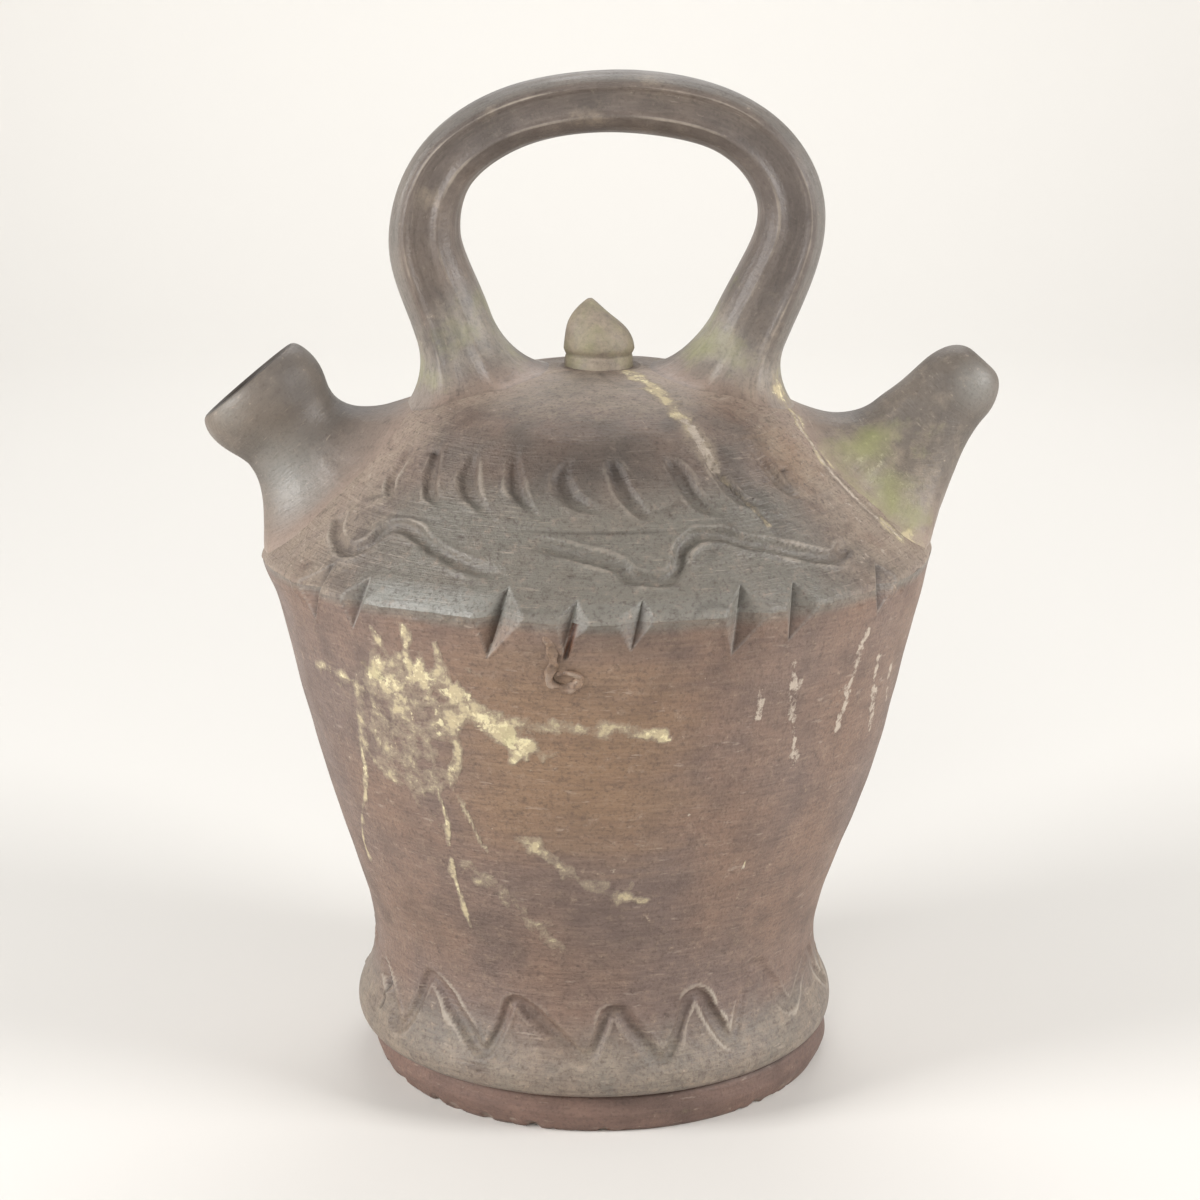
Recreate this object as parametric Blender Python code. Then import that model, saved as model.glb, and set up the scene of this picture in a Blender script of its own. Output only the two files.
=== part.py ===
"""Spouted water jug: a wheel-thrown, smoke-fired clay jug with a stirrup handle on top.

The pieces are the ones a potter throws or pulls and then lutes together while they are leather hard.
Metres, +Z up. The origin is the middle of the flat foot, the filling mouth leans to -X and the
drinking spout to +X, and the handle arches over the top in the XZ plane.
"""

import math

import bmesh
import bpy
from mathutils import Matrix, Vector
from mathutils.geometry import interpolate_bezier

# Body: radii and heights of its turned outline
FOOT_RADIUS = 0.0682
PLINTH_RADIUS = 0.0698
SLAB_THICKNESS = 0.0122
GROOVE_RADIUS = 0.0676
BULGE_RADIUS = 0.0740
BULGE_HEIGHT = 0.0178
WAIST_RADIUS = 0.0683
WAIST_HEIGHT = 0.039
EDGE_RADIUS = 0.0992
EDGE_HEIGHT = 0.162
FLANK_TOP_RADIUS = 0.060
FLANK_TOP_HEIGHT = 0.2010
DOME_TOP_RADIUS = 0.012
DOME_TOP_HEIGHT = 0.2145
WALL = 0.006
JOINT_GAP = 0.0003

# Knife notches across the shoulder's edge: azimuth in degrees from the front, depth at the edge, and how
# wide the facet to the left and the one to the right is there. The front ones lie where they were cut by
# eye, and the rest go on round the back at an uneven step.
FRONT_NOTCHES = (
    (-53.1, 0.0032, 0.0076, 0.0034),
    (-42.4, 0.0034, 0.0058, 0.0040),
    (-16.3, 0.0044, 0.0050, 0.0072),
    (-4.4, 0.0030, 0.0038, 0.0044),
    (6.1, 0.0030, 0.0062, 0.0036),
    (22.9, 0.0044, 0.0052, 0.0078),
    (32.9, 0.0036, 0.0042, 0.0074),
    (53.8, 0.0024, 0.0045, 0.0050),
)
BACK_NOTCH = (0.0034, 0.0050, 0.0062)
BACK_NOTCH_COUNT = 17
BACK_NOTCH_START = 68.0
BACK_NOTCH_STEP = 14.0
BACK_NOTCH_SWAY = 2.5
NOTCH_FOOT = 0.145
NOTCH_HEAD = 0.175
NOTCH_SLOPE = 0.25
NOTCH_SLANT = math.tan(math.radians(14))
NOTCH_REACH = 0.008

# Closing knob
PEG_RADIUS = 0.0055
PEG_LENGTH = 0.009
KNOB_NECK_RADIUS = 0.0098
KNOB_NECK_HEIGHT = 0.0036
KNOB_CAP_RADIUS = 0.0104
KNOB_TIP_HEIGHT = 0.2345

# Filling mouth: where its axis meets the flank, and sizes along that axis
MOUTH_SEAT = Vector((-0.0793, 0, 0.1810))
MOUTH_LEAN = math.radians(-39.5)
MOUTH_LENGTH = 0.038
MOUTH_LIP_RADIUS = 0.0184
MOUTH_NECK_RADIUS = 0.0153
MOUTH_NECK_HEIGHT = 0.020
MOUTH_ROOT_RADIUS = 0.0165
MOUTH_LIP_BORE = 0.0130
MOUTH_NECK_BORE = 0.0105

# Drinking spout, likewise
SPOUT_SEAT = Vector((0.0806, 0, 0.1790))
SPOUT_LEAN = math.radians(41.6)
SPOUT_LENGTH = 0.050
SPOUT_TIP_RADIUS = 0.0120
SPOUT_ROOT_RADIUS = 0.0160
SPOUT_HOLE_RADIUS = 0.0028
SPOUT_ROOT_BORE = 0.0105

# Luting coils: how far each climbs its spout, their spread on the flank, and how deep blanks run past it
MOUTH_COIL_HEIGHT = 0.0155
SPOUT_COIL_HEIGHT = 0.0215
COIL_SPREAD = 0.036
BLANK_DEPTH = 0.009

# Carrying handle: the strap's middle line in the XZ plane, and its section at the top and at the roots
HANDLE_LINE = (
    (-0.0330, 0.198),
    (-0.0425, 0.227),
    (-0.0503, 0.252),
    (-0.0442, 0.273),
    (-0.0240, 0.2866),
    (0.0061, 0.2915),
    (0.0353, 0.2865),
    (0.0520, 0.273),
    (0.0563, 0.254),
    (0.0452, 0.227),
    (0.0320, 0.198),
)
STRAP_THICKNESS = 0.0174
STRAP_ROOT_THICKNESS = 0.0265
STRAP_DEPTH = 0.0240
STRAP_ROOT_DEPTH = 0.0300
CHANNEL_SHARE = 0.10

# Wads of clay pressed round the handle's roots: how far they stand off the strap at collar and foot
WAD_COLLAR = 0.0008
WAD_SPREAD = 0.0175

# How finely round shapes are faceted
BODY_STEPS = 52
SPOUT_STEPS = 32
STRAP_SIDES = 20
STRAP_STEPS_PER_SPAN = 3
WAD_STEPS = 7


def bezier(start, start_pull, end_pull, end, steps):
    """Points of a Bezier curve in the plane of (radius, height), both ends included."""
    knots = [Vector(point) for point in (start, start_pull, end_pull, end)]
    return [(point.x, point.y) for point in interpolate_bezier(*knots, steps)]


def inset(outline, distance):
    """An outline that runs up the outside, moved inwards by a distance."""
    moved = []
    for i, (radius, height) in enumerate(outline):
        before = Vector(outline[max(i - 1, 0)])
        after = Vector(outline[min(i + 1, len(outline) - 1)])
        along = (after - before).normalized()
        moved.append((radius - along.y * distance, height + along.x * distance))
    return moved


def turn(outline, steps, on_axis=False):
    """The outline spun about Z. One on the axis starts and ends at radius 0, any other is a closed loop."""
    bm = bmesh.new()
    verts = [bm.verts.new((radius, 0, height)) for radius, height in outline]
    ends = verts[1:] if on_axis else verts[1:] + verts[:1]
    edges = [bm.edges.new(pair) for pair in zip(verts, ends)]
    bmesh.ops.spin(
        bm, geom=verts + edges, axis=(0, 0, 1), cent=(0, 0, 0), angle=math.tau, steps=steps, use_merge=True
    )
    bmesh.ops.remove_doubles(bm, verts=bm.verts, dist=1e-6)
    return bm


def loft(rings):
    """A closed skin over rings of the same count of points, with a flat cap at each end."""
    bm = bmesh.new()
    rows = [[bm.verts.new(point) for point in ring] for ring in rings]
    for low, high in zip(rows, rows[1:]):
        for i in range(len(low)):
            j = (i + 1) % len(low)
            bm.faces.new((low[i], low[j], high[j], high[i]))
    bm.faces.new(rows[0][::-1])
    bm.faces.new(rows[-1])
    return bm


def piece(name, bm, material, location=(0, 0, 0), lean=0.0):
    """A named object from a bmesh, shaded smooth, leaning about Y."""
    bmesh.ops.recalc_face_normals(bm, faces=bm.faces)
    mesh = bpy.data.meshes.new(name)
    bm.to_mesh(mesh)
    bm.free()
    mesh.shade_smooth()
    mesh.set_sharp_from_angle(angle=math.radians(35))
    mesh.materials.append(material)
    made = bpy.data.objects.new(name, mesh)
    made.location = location
    made.rotation_euler = (0, lean, 0)
    made.parent = jug
    bpy.context.scene.collection.objects.link(made)
    return made


def cutter(name, bm, location=(0, 0, 0), lean=0.0, grow=0.0):
    """A helper that only shapes other pieces. Grow pushes its skin out."""
    made = piece(name, bm, slate, location, lean)
    made.hide_render = True
    made.display_type = "WIRE"
    if grow:
        skin = made.modifiers.new("grow", "DISPLACE")
        skin.mid_level = 0
        skin.strength = grow
    return made


def cut(target, *tools):
    for tool in tools:
        modifier = target.modifiers.new(f"cut_by_{tool.name}", "BOOLEAN")
        modifier.operation = "DIFFERENCE"
        modifier.object = tool


def clay(name, colour, roughness):
    """Smoke-fired clay in one tone."""
    made = bpy.data.materials.new(name)
    made.use_nodes = True
    shader = made.node_tree.nodes["Principled BSDF"]
    shader.inputs["Base Color"].default_value = (*colour, 1)
    shader.inputs["Roughness"].default_value = roughness
    shader.inputs["Metallic"].default_value = 0
    return made


def belly_outline():
    """Outside of the belly: the rolled bulge over the foot, the waist, and the long swell to the edge."""
    start = (GROOVE_RADIUS, SLAB_THICKNESS + JOINT_GAP)
    bulge = (BULGE_RADIUS, BULGE_HEIGHT)
    waist = (WAIST_RADIUS, WAIST_HEIGHT)
    rim = (EDGE_RADIUS, EDGE_HEIGHT - JOINT_GAP)
    roll = bezier(start, (BULGE_RADIUS - 0.003, start[1]), (BULGE_RADIUS, BULGE_HEIGHT - 0.0045), bulge, 5)
    hollow = bezier(bulge, (BULGE_RADIUS, BULGE_HEIGHT + 0.0055), (WAIST_RADIUS, WAIST_HEIGHT - 0.012), waist, 6)
    swell = bezier(waist, (WAIST_RADIUS, WAIST_HEIGHT + 0.020), (EDGE_RADIUS - 0.017, EDGE_HEIGHT - 0.085), rim, 10)
    return roll + hollow[1:] + swell[1:]


def shoulder_outline():
    """Outside of the shoulder: a blunt edge, a straight flank, and a low dome up to the closing hole."""
    edge = [(EDGE_RADIUS, EDGE_HEIGHT), (EDGE_RADIUS - 0.0008, EDGE_HEIGHT + 0.0018)]
    flank_top = (FLANK_TOP_RADIUS, FLANK_TOP_HEIGHT)
    dome_top = (DOME_TOP_RADIUS, DOME_TOP_HEIGHT)
    rise = (FLANK_TOP_RADIUS - 0.008, FLANK_TOP_HEIGHT + 0.0075)
    flat = (0.034, DOME_TOP_HEIGHT - 0.0012)
    return edge + bezier(flank_top, rise, flat, dome_top, 7)


def shoulder_form():
    """The shoulder as a solid, a gap larger, on a wide table at its edge, to shape what is luted onto it."""
    grown = inset(shoulder_outline(), -JOINT_GAP)[1:]
    table_radius = 1.5 * EDGE_RADIUS
    table_foot = EDGE_HEIGHT - 0.02
    outline = [
        (0, table_foot),
        (table_radius, table_foot),
        (table_radius, EDGE_HEIGHT),
        (EDGE_RADIUS + JOINT_GAP, EDGE_HEIGHT),
        *grown,
        (0, DOME_TOP_HEIGHT + JOINT_GAP),
    ]
    return cutter("shoulder_form", turn(outline, BODY_STEPS, on_axis=True))


def notch_places():
    """Azimuth, depth and facet widths of every notch, right round the edge."""
    back = []
    for i in range(BACK_NOTCH_COUNT):
        azimuth = BACK_NOTCH_START + BACK_NOTCH_STEP * i + BACK_NOTCH_SWAY * math.sin(2 * i)
        back.append((azimuth, *BACK_NOTCH))
    return [*FRONT_NOTCHES, *back]


def edge_notches():
    """A wedge for each notch, its ridge leaning in and to the right as it rises, so that the cut runs out."""
    wedges = []
    for i, (azimuth, depth, left, right) in enumerate(notch_places()):
        rings = []
        for height in (NOTCH_FOOT, NOTCH_HEAD):
            ridge = EDGE_RADIUS - depth - NOTCH_SLOPE * (height - EDGE_HEIGHT)
            shift = NOTCH_SLANT * (height - EDGE_HEIGHT)
            mouth = ridge + NOTCH_REACH
            to_right = shift + NOTCH_REACH * right / depth
            to_left = shift - NOTCH_REACH * left / depth
            rings.append([(ridge, shift, height), (mouth, to_right, height), (mouth, to_left, height)])
        wedge = loft(rings)
        turned = Matrix.Rotation(math.radians(azimuth - 90), 3, "Z")
        bmesh.ops.rotate(wedge, verts=wedge.verts, matrix=turned)
        wedges.append(cutter(f"notch_{i + 1}", wedge))
    return wedges


def base_slab():
    outline = [
        (0, 0),
        (FOOT_RADIUS - 0.0015, 0),
        (FOOT_RADIUS, 0.0015),
        (PLINTH_RADIUS, 0.0060),
        (PLINTH_RADIUS - 0.0006, SLAB_THICKNESS - 0.0012),
        (GROOVE_RADIUS, SLAB_THICKNESS),
        (0, SLAB_THICKNESS),
    ]
    return piece("base_slab", turn(outline, BODY_STEPS, on_axis=True), umber)


def belly_wall(notches):
    outside = belly_outline()
    inside = [(radius - WALL, height) for radius, height in outside[::2]]
    made = piece("belly_wall", turn(outside + inside[::-1], BODY_STEPS), umber)
    cut(made, *notches)
    return made


def shoulder_cone(notches):
    outside = shoulder_outline()
    inside = inset(outside, WALL)[2:]
    rim = (EDGE_RADIUS - WALL, EDGE_HEIGHT)
    hole = PEG_RADIUS + JOINT_GAP
    lip = [(hole, DOME_TOP_HEIGHT), (hole, DOME_TOP_HEIGHT - WALL)]
    made = piece("shoulder_cone", turn([*outside, *lip, *inside[::-1], rim], BODY_STEPS), umber)
    bores = (
        ("mouth_bore", MOUTH_SEAT, MOUTH_LEAN, MOUTH_NECK_BORE),
        ("spout_bore", SPOUT_SEAT, SPOUT_LEAN, SPOUT_ROOT_BORE),
    )
    for name, seat, lean, radius in bores:
        drill = bmesh.new()
        bmesh.ops.create_cone(
            drill, cap_ends=True, segments=SPOUT_STEPS, radius1=radius, radius2=radius, depth=6 * WALL
        )
        cut(made, cutter(name, drill, seat, lean))
    cut(made, *notches)
    return made


def closing_knob():
    seat = DOME_TOP_HEIGHT + JOINT_GAP
    brim = seat + KNOB_NECK_HEIGHT
    cap = bezier(
        (KNOB_CAP_RADIUS, brim + 0.0012),
        (KNOB_CAP_RADIUS - 0.0012, brim + 0.0085),
        (0.0028, KNOB_TIP_HEIGHT - 0.0030),
        (0, KNOB_TIP_HEIGHT),
        8,
    )
    outline = [
        (0, seat - PEG_LENGTH),
        (PEG_RADIUS - 0.0006, seat - PEG_LENGTH),
        (PEG_RADIUS, seat - PEG_LENGTH + 0.001),
        (PEG_RADIUS, seat),
        (KNOB_NECK_RADIUS, seat),
        (KNOB_NECK_RADIUS - 0.0006, brim - 0.0008),
        (KNOB_NECK_RADIUS - 0.0004, brim),
        *cap,
    ]
    return piece("closing_knob", turn(outline, SPOUT_STEPS, on_axis=True), slate)


def mouth_outside():
    """Outside of the filling mouth from its root up to the rolled lip."""
    root = (MOUTH_ROOT_RADIUS, -BLANK_DEPTH)
    neck = (MOUTH_NECK_RADIUS, MOUTH_NECK_HEIGHT)
    lip = (MOUTH_LIP_RADIUS, MOUTH_LENGTH - 0.0045)
    rim = (MOUTH_LIP_RADIUS - 0.0032, MOUTH_LENGTH)
    rise = bezier(root, (root[0], 0.004), (neck[0], neck[1] - 0.006), neck, 5)
    flare = bezier(neck, (neck[0], neck[1] + 0.006), (lip[0], lip[1] - 0.005), lip, 5)
    roll = bezier(lip, (lip[0], lip[1] + 0.003), (rim[0] + 0.002, rim[1]), rim, 4)
    return rise + flare[1:] + roll[1:]


def filling_mouth(form):
    bore = bezier(
        (MOUTH_LIP_BORE, MOUTH_LENGTH - 0.0015),
        (MOUTH_LIP_BORE, MOUTH_LENGTH - 0.010),
        (MOUTH_NECK_BORE, MOUTH_NECK_HEIGHT + 0.007),
        (MOUTH_NECK_BORE, MOUTH_NECK_HEIGHT),
        5,
    )
    outline = [*mouth_outside(), *bore, (MOUTH_NECK_BORE, -BLANK_DEPTH)]
    made = piece("filling_mouth", turn(outline, SPOUT_STEPS), slate, MOUTH_SEAT, MOUTH_LEAN)
    cut(made, form)
    return made


def spout_outside():
    """Outside of the drinking spout from its root up to its domed tip."""
    root = (SPOUT_ROOT_RADIUS, -BLANK_DEPTH)
    dome = (SPOUT_TIP_RADIUS, SPOUT_LENGTH - 0.011)
    tip = (SPOUT_HOLE_RADIUS + 0.001, SPOUT_LENGTH)
    taper = bezier(root, (root[0], 0.012), (dome[0] + 0.0014, dome[1] - 0.012), dome, 6)
    crown = bezier(dome, (dome[0] - 0.0007, dome[1] + 0.0068), (tip[0] + 0.005, tip[1]), tip, 6)
    return taper + crown[1:]


def drinking_spout(form):
    bore = [
        (SPOUT_HOLE_RADIUS, SPOUT_LENGTH - 0.001),
        (SPOUT_HOLE_RADIUS, SPOUT_LENGTH - 0.007),
        (0.0068, SPOUT_LENGTH - 0.013),
        (SPOUT_ROOT_BORE, 0.016),
        (SPOUT_ROOT_BORE, -BLANK_DEPTH),
    ]
    made = piece("drinking_spout", turn(spout_outside() + bore, SPOUT_STEPS), slate, SPOUT_SEAT, SPOUT_LEAN)
    cut(made, form)
    return made


def radius_at(outline, height):
    """Radius of a rising outline at a height."""
    for (low_radius, low), (high_radius, high) in zip(outline, outline[1:]):
        if low <= height <= high:
            return low_radius + (high_radius - low_radius) * (height - low) / (high - low)


def luting_coil(name, tube, climb, seat, lean, form, wad):
    """The coil worked into the corner between a spout and the flank, spreading down onto the flank."""
    hugging = [(radius + JOINT_GAP, height) for radius, height in tube if height < climb - 0.001]
    hugging.append((radius_at(tube, climb) + JOINT_GAP, climb))
    collar = (hugging[-1][0] + 0.0007, climb)
    foot = (COIL_SPREAD, -0.0040)
    flare = bezier(collar, (collar[0], 0.5 * climb), (0.024, 0.0035), foot, 8)
    outline = [*hugging, *flare, (COIL_SPREAD, -BLANK_DEPTH)]
    made = piece(name, turn(outline, SPOUT_STEPS), slate, seat, lean)
    cut(made, form, wad)
    return made


def smooth_line(points, steps):
    """A Catmull-Rom line through points in the XZ plane."""
    knots = [Vector((x, 0, z)) for x, z in points]
    knots = [2 * knots[0] - knots[1], *knots, 2 * knots[-1] - knots[-2]]
    line = []
    for a, b, c, d in zip(knots, knots[1:], knots[2:], knots[3:]):
        line += interpolate_bezier(b, b + (c - a) / 6, c - (d - b) / 6, c, steps + 1)[:-1]
    return [*line, knots[-2]]


def strap_section(thickness, depth, roundness):
    """Points of the strap's section: a rounded bar with a shallow channel down its front and its back.

    At roundness 1 it is a plain ellipse.
    """
    power = 0.75 + 0.25 * roundness
    points = []
    for i in range(STRAP_SIDES):
        turned = math.tau * i / STRAP_SIDES
        across = math.copysign(abs(math.cos(turned)) ** power, math.cos(turned))
        deep = math.copysign(abs(math.sin(turned)) ** power, math.sin(turned))
        channel = (1 - roundness) * CHANNEL_SHARE * math.exp(-((across / 0.4) ** 2))
        points.append((across * thickness / 2, deep * (1 - channel) * depth / 2))
    return points


def strap_rings(line, stand_off):
    """Rings round a stretch of the strap's middle line, each standing off the strap by its own distance."""
    crest = max(z for x, z in HANDLE_LINE)
    root = min(z for x, z in HANDLE_LINE)
    rings = []
    for i, (middle, off) in enumerate(zip(line, stand_off)):
        along = (line[min(i + 1, len(line) - 1)] - line[max(i - 1, 0)]).normalized()
        outward = Vector((-along.z, 0, along.x))
        lowness = (max(crest - middle.z, 0) / (crest - root)) ** 1.3
        thickness = STRAP_THICKNESS + (STRAP_ROOT_THICKNESS - STRAP_THICKNESS) * lowness + 2 * off
        depth = STRAP_DEPTH + (STRAP_ROOT_DEPTH - STRAP_DEPTH) * lowness + 2 * off
        section = strap_section(thickness, depth, min(off / WAD_SPREAD, 1))
        rings.append([middle + outward * across + Vector((0, deep, 0)) for across, deep in section])
    return rings


def strap():
    """The handle's strap, from inside the shoulder at one root to inside it at the other."""
    line = smooth_line(HANDLE_LINE, STRAP_STEPS_PER_SPAN)
    return loft(strap_rings(line, [0] * len(line)))


def root_wad(side):
    """A wad round one root of the strap, from a thin collar down to a foot spread over the shoulder."""
    line = smooth_line(HANDLE_LINE, WAD_STEPS)
    root_up = line[: WAD_STEPS + 1] if side < 0 else line[: -WAD_STEPS - 2 : -1]
    spread = [WAD_COLLAR + WAD_SPREAD * (1 - i / WAD_STEPS) ** 2.2 for i in range(WAD_STEPS + 1)]
    return loft(strap_rings(root_up, spread))


def carrying_handle(form):
    made = piece("carrying_handle", strap(), slate)
    cut(made, form)
    return made


def handle_luting(name, side, form, strap_form):
    made = piece(name, root_wad(side), slate)
    cut(made, form, strap_form)
    return made


for old in list(bpy.data.objects):
    bpy.data.objects.remove(old)
jug = bpy.data.objects.new("jug", None)
bpy.context.scene.collection.objects.link(jug)
umber = clay("smoked_umber_clay", (0.25, 0.175, 0.138), 0.62)
slate = clay("smoked_slate_clay", (0.19, 0.160, 0.135), 0.55)

form = shoulder_form()
strap_form = cutter("strap_form", strap(), grow=JOINT_GAP)
left_wad_form = cutter("left_wad_form", root_wad(-1), grow=JOINT_GAP)
right_wad_form = cutter("right_wad_form", root_wad(1), grow=JOINT_GAP)

notches = edge_notches()
base_slab()
belly_wall(notches)
shoulder_cone(notches)
closing_knob()
filling_mouth(form)
drinking_spout(form)
carrying_handle(form)
luting_coil("mouth_luting_coil", mouth_outside(), MOUTH_COIL_HEIGHT, MOUTH_SEAT, MOUTH_LEAN, form, left_wad_form)
luting_coil("spout_luting_coil", spout_outside(), SPOUT_COIL_HEIGHT, SPOUT_SEAT, SPOUT_LEAN, form, right_wad_form)
handle_luting("handle_luting_left", -1, form, strap_form)
handle_luting("handle_luting_right", 1, form, strap_form)
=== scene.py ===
"""Looks of the spouted water jug: hand-thrown, smoke-fired clay with knife notches and drawn grooves.

Metres, +Z up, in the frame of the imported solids. Azimuths are degrees from the front, + to the right.
Tables give heights and sizes in mm where their comment says so.
"""

import math

import bpy
import numpy as np
from mathutils import Matrix, Vector


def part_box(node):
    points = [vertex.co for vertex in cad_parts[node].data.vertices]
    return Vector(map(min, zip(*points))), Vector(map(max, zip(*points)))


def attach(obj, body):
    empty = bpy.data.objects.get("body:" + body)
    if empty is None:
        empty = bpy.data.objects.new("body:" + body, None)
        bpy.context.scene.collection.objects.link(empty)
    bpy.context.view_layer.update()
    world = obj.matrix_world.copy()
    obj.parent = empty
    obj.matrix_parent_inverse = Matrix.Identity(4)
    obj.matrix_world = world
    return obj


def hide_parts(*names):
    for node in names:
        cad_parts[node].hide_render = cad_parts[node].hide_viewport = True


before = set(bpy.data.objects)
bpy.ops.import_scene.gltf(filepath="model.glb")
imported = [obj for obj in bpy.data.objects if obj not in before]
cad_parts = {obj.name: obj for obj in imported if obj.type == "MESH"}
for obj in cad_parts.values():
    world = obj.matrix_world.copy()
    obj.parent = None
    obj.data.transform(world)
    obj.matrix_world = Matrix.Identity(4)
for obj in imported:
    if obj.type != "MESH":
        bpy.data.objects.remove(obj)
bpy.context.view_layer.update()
MM = 0.001

# Camera: held a little above the jug and straight before it, with a short telephoto view.
CAMERA_DIP = 14.54
camera = bpy.data.objects.new("camera", bpy.data.cameras.new("camera"))
camera.location = (0.0008, -0.72, 0.3295)
camera.rotation_euler = (math.radians(90 - CAMERA_DIP), 0, 0)
camera.data.sensor_width = 36
camera.data.lens = 73.6
bpy.context.scene.collection.objects.link(camera)
bpy.context.scene.camera = camera


# Foot slab: the disc of clay that the jug was thrown on, cut off the wheel with a wire.
# Fired with the rest, its lower edge is left rough and chipped, and it stands out a little on the right.
slab_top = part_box("base_slab")[1]
PLINTH_RADIUS = slab_top.x
SLAB_TOP = slab_top.z
EDGE_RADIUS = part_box("shoulder_cone")[1].x
GROOVE_RADIUS = PLINTH_RADIUS - 1.3 * MM
FOOT_RADIUS = PLINTH_RADIUS - 1.6 * MM
FACE_MIDDLE = 10 * MM
SLAB_SPACING = 0.7 * MM
CHIP_DEPTH = 1.1 * MM
CHIP_REACH = 2.4 * MM
PROUD = 1.3 * MM

# Knife notches across the shoulder's edge: azimuth, depth, and width of the left and the right facet in mm.
FRONT_NOTCHES = (
    (-53.1, 4.4, 7.6, 3.4),
    (-42.4, 3.8, 5.8, 4.0),
    (-16.3, 5.0, 5.0, 7.2),
    (-4.4, 3.4, 3.8, 4.4),
    (6.1, 3.4, 6.2, 3.6),
    (22.9, 5.0, 5.2, 7.8),
    (32.9, 4.2, 4.2, 7.4),
    (53.8, 3.8, 6.0, 6.5),
)
BACK_NOTCHES = [(124 + 14 * i + 2.5 * math.sin(2 * i), 4.0, 5.0, 6.2 + math.sin(i)) for i in range(9)]
NOTCHES = [*FRONT_NOTCHES, *BACK_NOTCHES]

# How far apart points lie round a wall, first beside a notch and then elsewhere.
FRONT_SPACING = (0.5 * MM, 1.05 * MM)
BACK_SPACING = (0.9 * MM, 1.5 * MM)
BESIDE_NOTCH = 3.5 * MM
FACING = 78
# Faces that meet at a larger angle have a sharp edge.
SHARP_FROM = 62


def unit(vectors):
    """Vectors with a length of 1."""
    return vectors / np.linalg.norm(vectors, axis=-1, keepdims=True)


def lumps(points, size, seed, waves=28):
    """A smooth random field of about -1 to 1 over points, with lumps of about that size."""
    draw = np.random.default_rng(seed)
    ways = unit(draw.normal(size=(waves, 3)))
    ways *= draw.uniform(0.6, 1.4, (waves, 1)) * math.pi / size
    phases = draw.uniform(0, math.tau, waves)
    return np.sin(points @ ways.T + phases).sum(axis=-1) * math.sqrt(0.6 / waves)


def ease(low, high, value):
    """0 on low's side of low, 1 on high's side of high, and smooth between."""
    share = np.clip((value - low) / (high - low), 0, 1)
    return share * share * (3 - 2 * share)


def bell(off, width, power=2):
    """1 where off is 0, and fading to either side over about the width. A higher power is flatter on top."""
    return np.exp(-((off / width) ** power))


def from_front(azimuth):
    """An azimuth as -180 to 180 degrees from the front."""
    return (azimuth + 180) % 360 - 180


def rows_along(outline, spacing):
    """Points along an outline of (radius, height), as far apart as spacing gives for a place on it."""
    steps = np.linalg.norm(np.diff(outline, axis=0), axis=1)
    middles = (outline[1:] + outline[:-1]) / 2
    load = np.concatenate([[0], np.cumsum(steps / spacing(middles))])
    at = np.linspace(0, load[-1], math.ceil(load[-1]) + 1)
    return np.column_stack([np.interp(at, load, outline[:, k]) for k in (0, 1)])


def columns_round(centres):
    """Azimuths right round, one on each notch's line, and closer together beside it and in front."""
    degree = EDGE_RADIUS * math.tau / 360
    centres = sorted(from_front(centre) for centre in centres)
    found = []
    for start, end in zip(centres, [*centres[1:], centres[0] + 360]):
        dense = np.linspace(start, end, 500)
        beside = np.minimum(dense - start, end - dense) * degree < BESIDE_NOTCH
        facing = np.abs(from_front(dense)) < FACING
        spacing = np.where(facing, np.where(beside, *FRONT_SPACING), np.where(beside, *BACK_SPACING))
        load = np.concatenate([[0], np.cumsum(np.diff(dense) * degree / spacing[1:])])
        at = np.linspace(0, load[-1], math.ceil(load[-1]), endpoint=False)
        found.append(np.interp(at, load, dense))
    return np.concatenate(found)


def all_round(rows):
    """Radius and height at each point of a wall, from its rows of (radius, height)."""
    return rows[:, :1] + 0 * columns, rows[:, 1:] + 0 * columns


def stacked(x, y, z):
    """Points from their three coordinates, each a number or an array."""
    return np.stack(np.broadcast_arrays(x, y, z), axis=-1)


def round_points(radius, azimuth, height):
    """Points at a radius, an azimuth and a height."""
    turned = np.radians(azimuth)
    return stacked(radius * np.sin(turned), -radius * np.cos(turned), height)


def out_of_true(points):
    """How far a thrown wall is out of its true round: slow waves, two swellings and the rings of fingers."""
    waves = 0.35 * lumps(points, 70 * MM, 1) + 0.12 * lumps(points, 18 * MM, 2)
    to_right = points[..., 0] / np.hypot(points[..., 0], points[..., 1])
    height = points[..., 2] / MM
    waves += 1.1 * ease(0.3, 1, to_right) * bell(height - 92, 28)
    waves += 1.7 * ease(0.75, 1, -to_right) * bell(height - 161, 8)
    ringed = points * np.array((0.12, 0.12, 1))
    return (waves + 0.13 * lumps(ringed, 7 * MM, 3)) * MM


def skin(name, rings, loop=False, fans=False):
    """A mesh over rings of points. Its ends join each other, or each closes on a point in its middle."""
    rows, columns = rings.shape[:2]
    index = np.arange(rows * columns).reshape(rows, columns)
    low = index if loop else index[:-1]
    high = np.roll(index, -1, axis=0) if loop else index[1:]
    quads = np.stack([low, np.roll(low, -1, 1), np.roll(high, -1, 1), high], axis=-1)
    points = rings.reshape(-1, 3)
    faces = quads.reshape(-1, 4).tolist()
    if fans:
        points = np.vstack([points, rings[0].mean(axis=0), rings[-1].mean(axis=0)])
        first = zip(np.roll(index[0], -1), index[0])
        last = zip(index[-1], np.roll(index[-1], -1))
        faces += [(int(a), int(b), rows * columns) for a, b in first]
        faces += [(int(a), int(b), rows * columns + 1) for a, b in last]
    mesh = bpy.data.meshes.new(name)
    mesh.from_pydata(points, [], faces)
    mesh.shade_smooth()
    mesh.set_sharp_from_angle(angle=math.radians(SHARP_FROM))
    made = bpy.data.objects.new(name, mesh)
    bpy.context.scene.collection.objects.link(made)
    return made


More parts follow.
